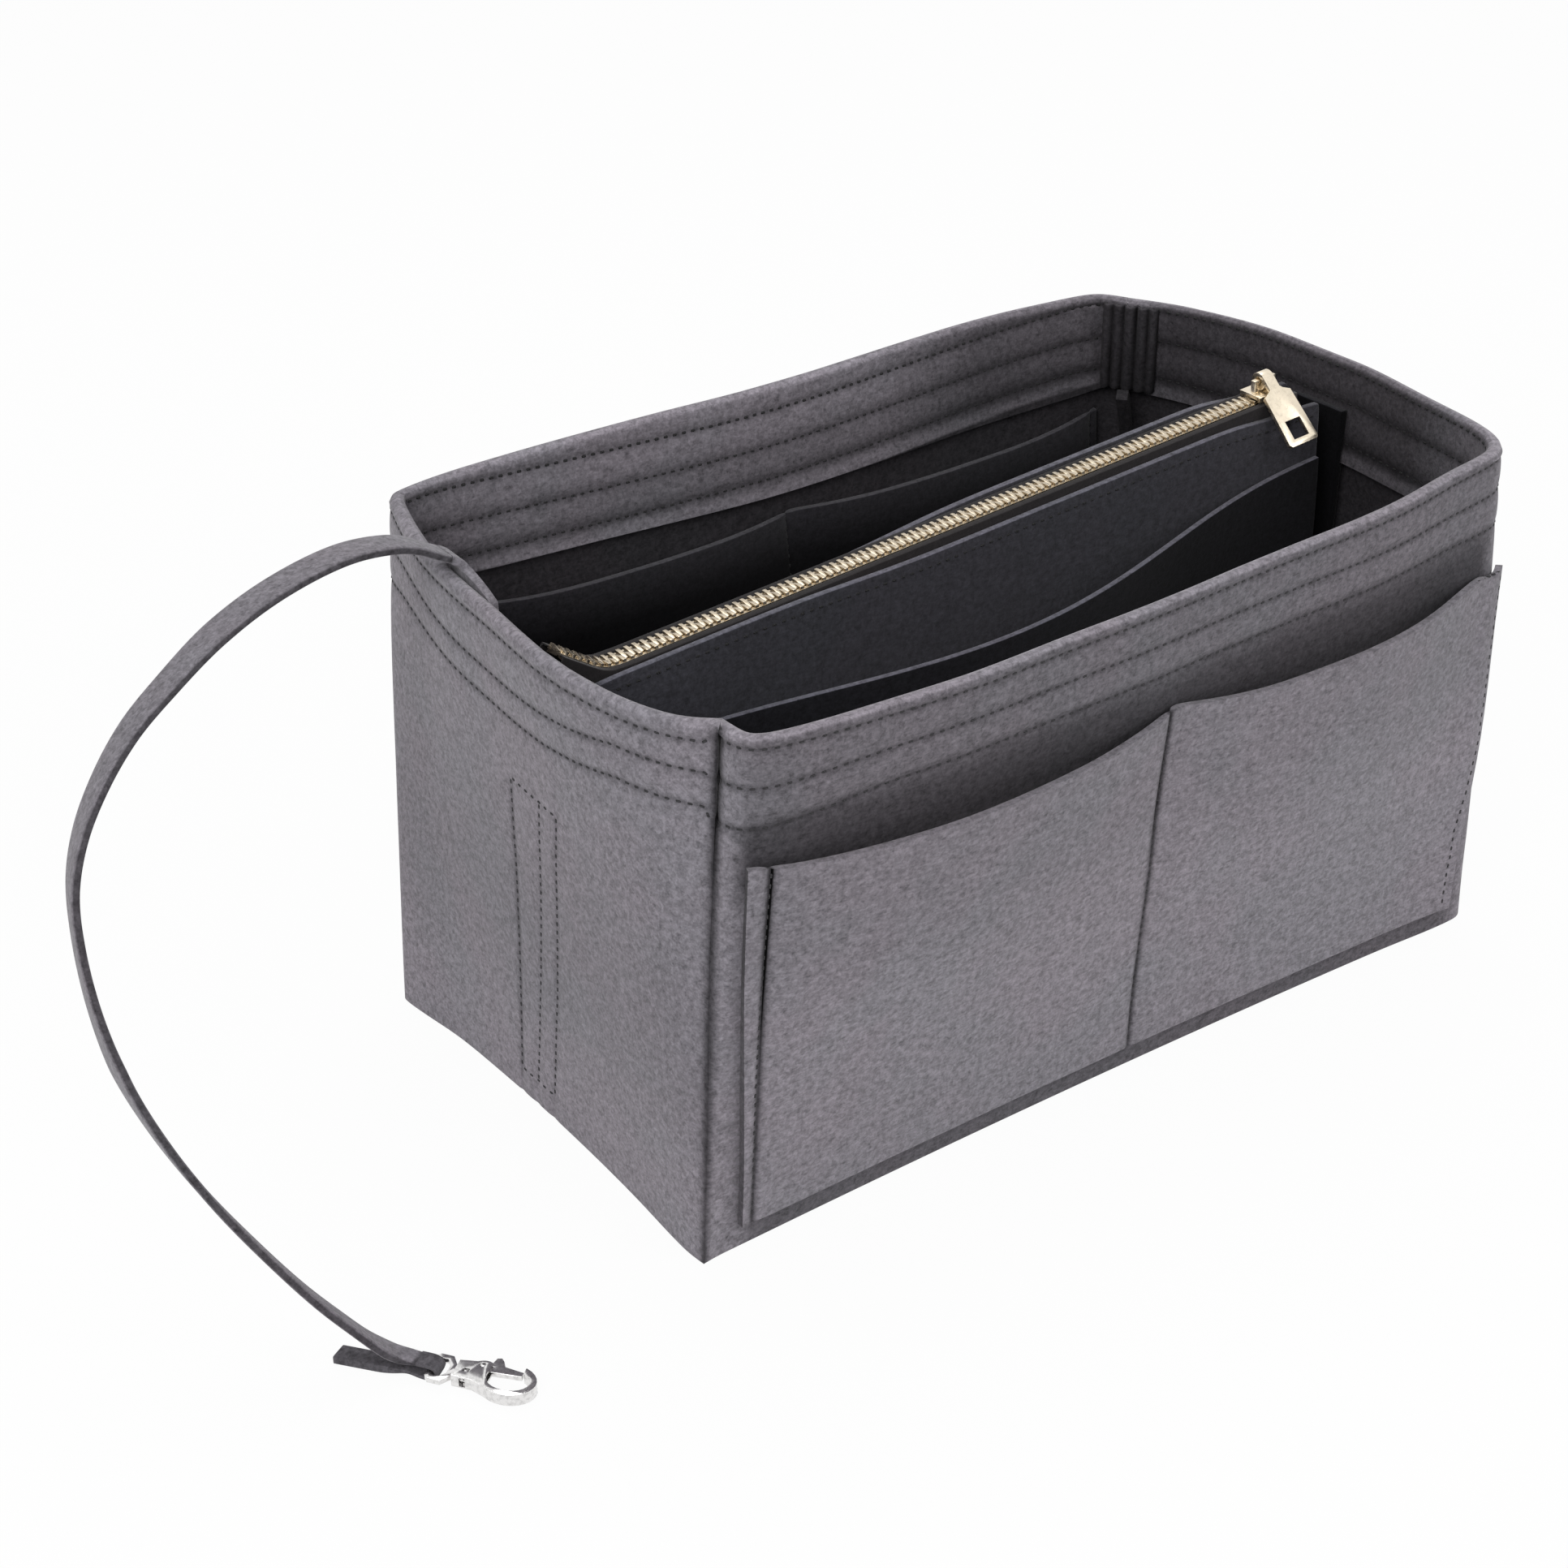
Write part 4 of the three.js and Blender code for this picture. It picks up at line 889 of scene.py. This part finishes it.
# Where the two hems meet at the back right, their ends are gathered across the corner in upright pleats.
# They are the same felt, pressed thin.
pleat_start = Vector((0.1258, 0.0822, 0))
pleat_end = Vector((0.1352, 0.0672, 0))
pleat_count = 4.5
pleat_columns = 73
pleat_stand = 0.0014
pleat_reach = 0.0011
pleat_hold = 0.06
pleat_felt = 0.0012
pleat_heights = (0.1300, 0.1330, 0.1380, 0.1440, 0.1500, 0.1550, 0.1578, 0.1588)
mesh = bmesh.new()
into_bag = Vector((-(pleat_start.y - pleat_end.y), -(pleat_end.x - pleat_start.x), 0)).normalized()
columns = []
for i in range(pleat_columns):
    share = i / (pleat_columns - 1)
    wave = math.sin(share * pleat_count * 2 * math.pi) + 0.3 * math.sin(share * 17.3)
    held = eased(share / pleat_hold) * eased((1 - share) / pleat_hold)
    column = []
    for z in pleat_heights:
        spread = 0.75 + 0.25 * math.cos(z * 180 + share * 5)
        shift = into_bag * (pleat_stand + pleat_reach * wave * spread) * held
        column.append(mesh.verts.new(pleat_start.lerp(pleat_end, share) + shift + Vector((0, 0, z))))
    columns.append(column)
for a, b in zip(columns, columns[1:]):
    for k in range(len(pleat_heights) - 1):
        mesh.faces.new((a[k], b[k], b[k + 1], a[k + 1]))
data = bpy.data.meshes.new("corner_pleats")
mesh.to_mesh(data)
mesh.free()
pleats = bpy.data.objects.new("corner_pleats", data)
bpy.context.collection.objects.link(pleats)
thick = pleats.modifiers.new("felt", "SOLIDIFY")
thick.thickness = pleat_felt
thick.offset = 0
take_modifiers(pleats)
mesh = bmesh.new()
mesh.from_mesh(pleats.data)
bmesh.ops.recalc_face_normals(mesh, faces=mesh.faces)
mesh.to_mesh(pleats.data)
mesh.free()
smooth_cloth(pleats, 1)


# The pleats are painted dark with shade, lighter on their ridges, towards the top and on faces turned up.
def pleat_shade(place, normal):
    depth = (place - pleat_start).dot(into_bag)
    lit = 0.6 + 0.4 * eased((place.z - 0.135) / 0.02)
    return -0.97 + lit * (0.17 * eased((depth - 0.0003) / 0.0026) + 0.1 * eased((normal.z - 0.3) / 0.4))


paint_light_and_shade(pleats, pleat_shade)
dressed(pleats, "shell", "felt_outer", outer_grey)

# The base is a plain felt panel sewn into the foot of the walls, which grip its edges.
# It is the same felt, and lies in the shade.
base_grip = 0.0013
# The inner felt is the same felt, painted dark with shade.
shaded_inner_grey = felt_finish("inner_felt", (0.034, 0.0315, 0.038))
base = merged_copy("base_panel", "base_felt")
flat_sides(base)
outwards = [Vector((vertex.normal.x, vertex.normal.y, 0)).normalized() for vertex in base.data.vertices]
for vertex, way in zip(base.data.vertices, outwards):
    vertex.co += way * base_grip
cut_edges(base, soft_edge)
base.data.shade_smooth()
dressed(base, "shell", "felt_inner", shaded_inner_grey, "base_panel")

# The slip pockets are single layers of felt with cut mouths, sewn at their sides, foot and middle.
# They gape a little between the seams, and their cut mouths carry a painted highlight where they face up.
divider_foot = 0.00588
divider_lean = 0.0593
side_seam = 0.0032
seam_groove = 0.0008
seam_groove_half = 0.0013
pocket_seam_shade_width = 0.0011
row_above_foot = 0.002
row_below_mouth = 0.003
search_step = 0.0004
reach_across = 0.08
left_edge_lean = 0.0028
right_edge_pull = 0.0022
mouth_corner_drop = 0.0032


def pull_front_pocket(pocket):
    """The front pocket's left edge leans out, its right edge is drawn in and its right corner drops."""
    for vertex in pocket.data.vertices:
        place = vertex.co.copy()
        near_left, near_right = eased((-0.105 - place.x) / 0.022), eased((place.x - 0.108) / 0.02)
        vertex.co.x -= near_left * left_edge_lean * (place.z - 0.026) / 0.096
        vertex.co.x -= near_right * right_edge_pull * max(0, 1 - ((place.z - 0.083) / 0.04) ** 2)
        vertex.co.z -= mouth_corner_drop * eased((place.x - 0.122) / 0.014) * eased((place.z - 0.09) / 0.03)


def side_row(surface, start, side, middle_y, heights, aim):
    """Places at one distance from a pocket's side edge, which is searched for from outside."""
    row = []
    for z in heights:
        for step in range(60):
            place = Vector((start + side * step * search_step, middle_y, z))
            if laid_on(surface, [place], aim, reach_across):
                row.append(place + Vector((side * side_seam, 0, 0)))
                break
    return row


def pocket_shade(place, normal, planes, inside):
    """A painted highlight on the mouth, painted shade on the seams and cut sides and inside below the
    mouth.
    """
    mouth = eased((normal.z - 0.35) / 0.4)
    if inside:
        return -0.25 - 0.65 * eased((0.122 - place.z) / 0.022) + 0.7 * mouth
    seams = max(fold_line((place - at).dot(facing), pocket_seam_shade_width) for at, facing in planes)
    cut = eased((abs(normal.x) - 0.5) / 0.3)
    # The outer pockets are also a little darker towards the top.
    return 0.18 * mouth - 0.7 * seams - 0.6 * cut - 0.16 * eased((place.z - 0.06) / 0.045)


for node, name, slot, finish, facing in (
        ("front_outer_pocket", "front_pocket_felt", "felt_outer", outer_grey, -1),
        ("back_outer_pocket", "back_pocket_felt", "felt_outer", outer_grey, 1),
        ("back_inner_pocket", "back_inner_felt", "felt_inner", shaded_inner_grey, -1),
        ("front_inner_pocket", "front_inner_felt", "felt_inner", shaded_inner_grey, 1)):
    low, high = (Vector(p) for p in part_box(node))
    middle_y = (low.y + high.y) / 2
    aim = Vector((0, -facing, 0))
    inside = slot == "felt_inner"
    pocket = merged_copy(node, name)
    if node == "front_outer_pocket":
        pull_front_pocket(pocket)
    heights = steps(low.z + row_above_foot, high.z - row_below_mouth, 50)
    surface = surface_of(pocket)
    rows = [side_row(surface, low.x, 1, middle_y, heights, aim),
            side_row(surface, high.x, -1, middle_y, heights, aim)]
    planes = [(Vector((divider_foot, 0, 0)), Vector((1, 0, divider_lean)).normalized())]
    for row in rows[:1] if node == "front_outer_pocket" else rows:
        slope = row[-8] - row[2]
        planes.append((row[2], Vector((slope.z, 0, -slope.x)).normalized()))
    creased(pocket, planes, seam_groove, seam_groove_half)
    cut_edges(pocket, soft_edge)
    smooth_cloth(pocket, 2)
    unevenly(pocket)
    paint_light_and_shade(pocket, lambda place, normal: pocket_shade(place, normal, planes, inside))
    dressed(pocket, "shell", slot, finish, node)
    surface = surface_of(pocket)
    rows.append([Vector((divider_foot - z * divider_lean, middle_y, z)) for z in heights])
    lines = [laid_on(surface, row, aim, reach_across) for row in rows]
    sewn(name.replace("felt", "stitches"), "shell", slot, lines, black_thread if inside else grey_thread)

# The pouch is two felt panels that are sewn together at the foot and ends, with a slip pocket in front.
# Felt tabs on its ends carry the loop strips. It is a darker felt, with a painted highlight on its cut
# tops.
panel_edge = 0.0004
front_left_rise = 0.0021
front_right_drop = 0.002
back_middle_rise = 0.0028
mouth_row_drop = 0.0034
mouth_row_margin = 0.006
pouch_grey = felt_finish("pouch_felt", (0.0355, 0.034, 0.0425))


def front_rise(x):
    return front_left_rise * eased((-0.015 - x) / 0.05) - front_right_drop * eased((x - 0.1) / 0.012)


def back_rise(x):
    return back_middle_rise * eased((x + 0.04) / 0.05) * (1 - eased((x - 0.104) / 0.01))


def mouth_row(surface, low, high, aim):
    """Places along a panel at one depth below its top edge, which is found by halving."""
    middle_y = (low.y + high.y) / 2
    row = []
    for x in steps(low.x + mouth_row_margin, high.x - mouth_row_margin, 120):
        bottom, top = low.z + 0.04, high.z + 0.001
        for halving in range(12):
            z = (bottom + top) / 2
            if laid_on(surface, [Vector((x, middle_y, z))], aim, reach_across):
                bottom = z
            else:
                top = z
        row.append(Vector((x, middle_y, bottom - mouth_row_drop)))
    return laid_on(surface, row, aim, reach_across)


def cut_top(place, normal):
    """1 on a piece's cut top edge and 0 on its sides and foot."""
    return eased((normal.z - 0.3) / 0.5) * (place.z > 0.06)


# A painted highlight on the cut top, fading out at the right end; the left end a little paler.
def panel_shade(place, normal):
    top = cut_top(place, normal)
    near_right = eased((place.x - 0.1) / 0.012)
    return 2.2 * top * (1 - 0.8 * near_right) + 0.3 * eased((-0.08 - place.x) / 0.03) * (1 - top)


# Painted shade over the slip pocket, deeper to the right, and a painted highlight on its cut top.
def slip_pocket_shade(place, normal):
    return -0.6 - 0.15 * eased((place.x - 0.02) / 0.06) + 2.6 * cut_top(place, normal)


# The tabs are painted much darker, with a painted highlight on their cut tops.
def tab_shade(place, normal):
    return -0.88 + 0.3 * cut_top(place, normal)


for node, name, shade_at, rise_at, facing in (
        ("pouch_front_panel", "pouch_front_felt", panel_shade, front_rise, -1),
        ("pouch_back_panel", "pouch_back_felt", panel_shade, back_rise, 1),
        ("pouch_slip_pocket", "pouch_pocket_felt", slip_pocket_shade, None, -1),
        ("left_tab", "left_tab_felt", tab_shade, None, 0),
        ("right_tab", "right_tab_felt", tab_shade, None, 0)):
    panel = merged_copy(node, name)
    if rise_at:
        for vertex in panel.data.vertices:
            vertex.co.z += eased((vertex.co.z - 0.11) / 0.025) * rise_at(vertex.co.x)
    cut_edges(panel, panel_edge)
    smooth_cloth(panel, 2)
    paint_light_and_shade(panel, shade_at)
    dressed(panel, "pouch", "felt_pouch", pouch_grey, node)
    if rise_at:
        low, high = (Vector(p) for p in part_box(node))
        row = mouth_row(surface_of(panel), low, high, Vector((0, -facing, 0)))
        sewn(name.replace("felt", "stitches"), "pouch", "felt_pouch", [row], black_thread)

# The hook strips are sewn to the walls and the loop strips to the tabs.
# Both are black nylon, woven with a nap.
strip_edge = 0.0004
nap = felt_finish("nylon_nap", (0.012, 0.012, 0.013), 0.6, 0.1)
for node, name, body, slot in (("left_hook_strip", "left_hooks", "shell", "hook_tape"),
                               ("right_hook_strip", "right_hooks", "shell", "hook_tape"),
                               ("left_loop_strip", "left_loops", "pouch", "loop_tape"),
                               ("right_loop_strip", "right_loops", "pouch", "loop_tape")):
    strip = merged_copy(node, name)
    cut_edges(strip, strip_edge)
    smooth_cloth(strip, 1)
    dressed(strip, body, slot, nap, node)

# The zip is a metal zip with pale gold teeth on dark tape.
# Its slider stands at the right end, with a rolled-eye puller.
tape_edge = 0.0002
gold = metal_finish("pale_gold", (0.83, 0.735, 0.585), 0.28, 0.12)
# The teeth take a darker copy of the gold, as painted shade for the gaps between them.
shaded_teeth_gold = metal_finish("dull_gold", (0.62, 0.535, 0.41), 0.24, 0.35)
for node, name, body, slot, width in (("zip_teeth_front", "teeth_front", "pouch", "zip_metal", 0.0002),
                                      ("zip_teeth_back", "teeth_back", "pouch", "zip_metal", 0.0002),
                                      ("zip_top_stop_front", "stop_front", "pouch", "zip_metal", 0.0003),
                                      ("zip_top_stop_back", "stop_back", "pouch", "zip_metal", 0.0003),
                                      ("zip_slider", "slider_body", "slider", "zip_metal", 0.0003),
                                      ("zip_puller", "puller_plate", "puller", "puller_metal", 0.0002)):
    metal = merged_copy(node, name)
    flat_sides(metal)
    cut_edges(metal, width, 2, 30)
    metal.data.shade_smooth()
    dressed(metal, body, slot, shaded_teeth_gold if "teeth" in name else gold, node)
tape_black = felt_finish("zip_tape_cloth", (0.02, 0.017, 0.018), 0.5, 0.15)
for node, name in (("zip_tape_front", "tape_front"), ("zip_tape_back", "tape_back")):
    tape = merged_copy(node, name)
    cut_edges(tape, tape_edge)
    smooth_cloth(tape, 1)
    dressed(tape, "pouch", "zip_tape", tape_black, node)

bpy.context.scene.view_settings.view_transform = "Standard"
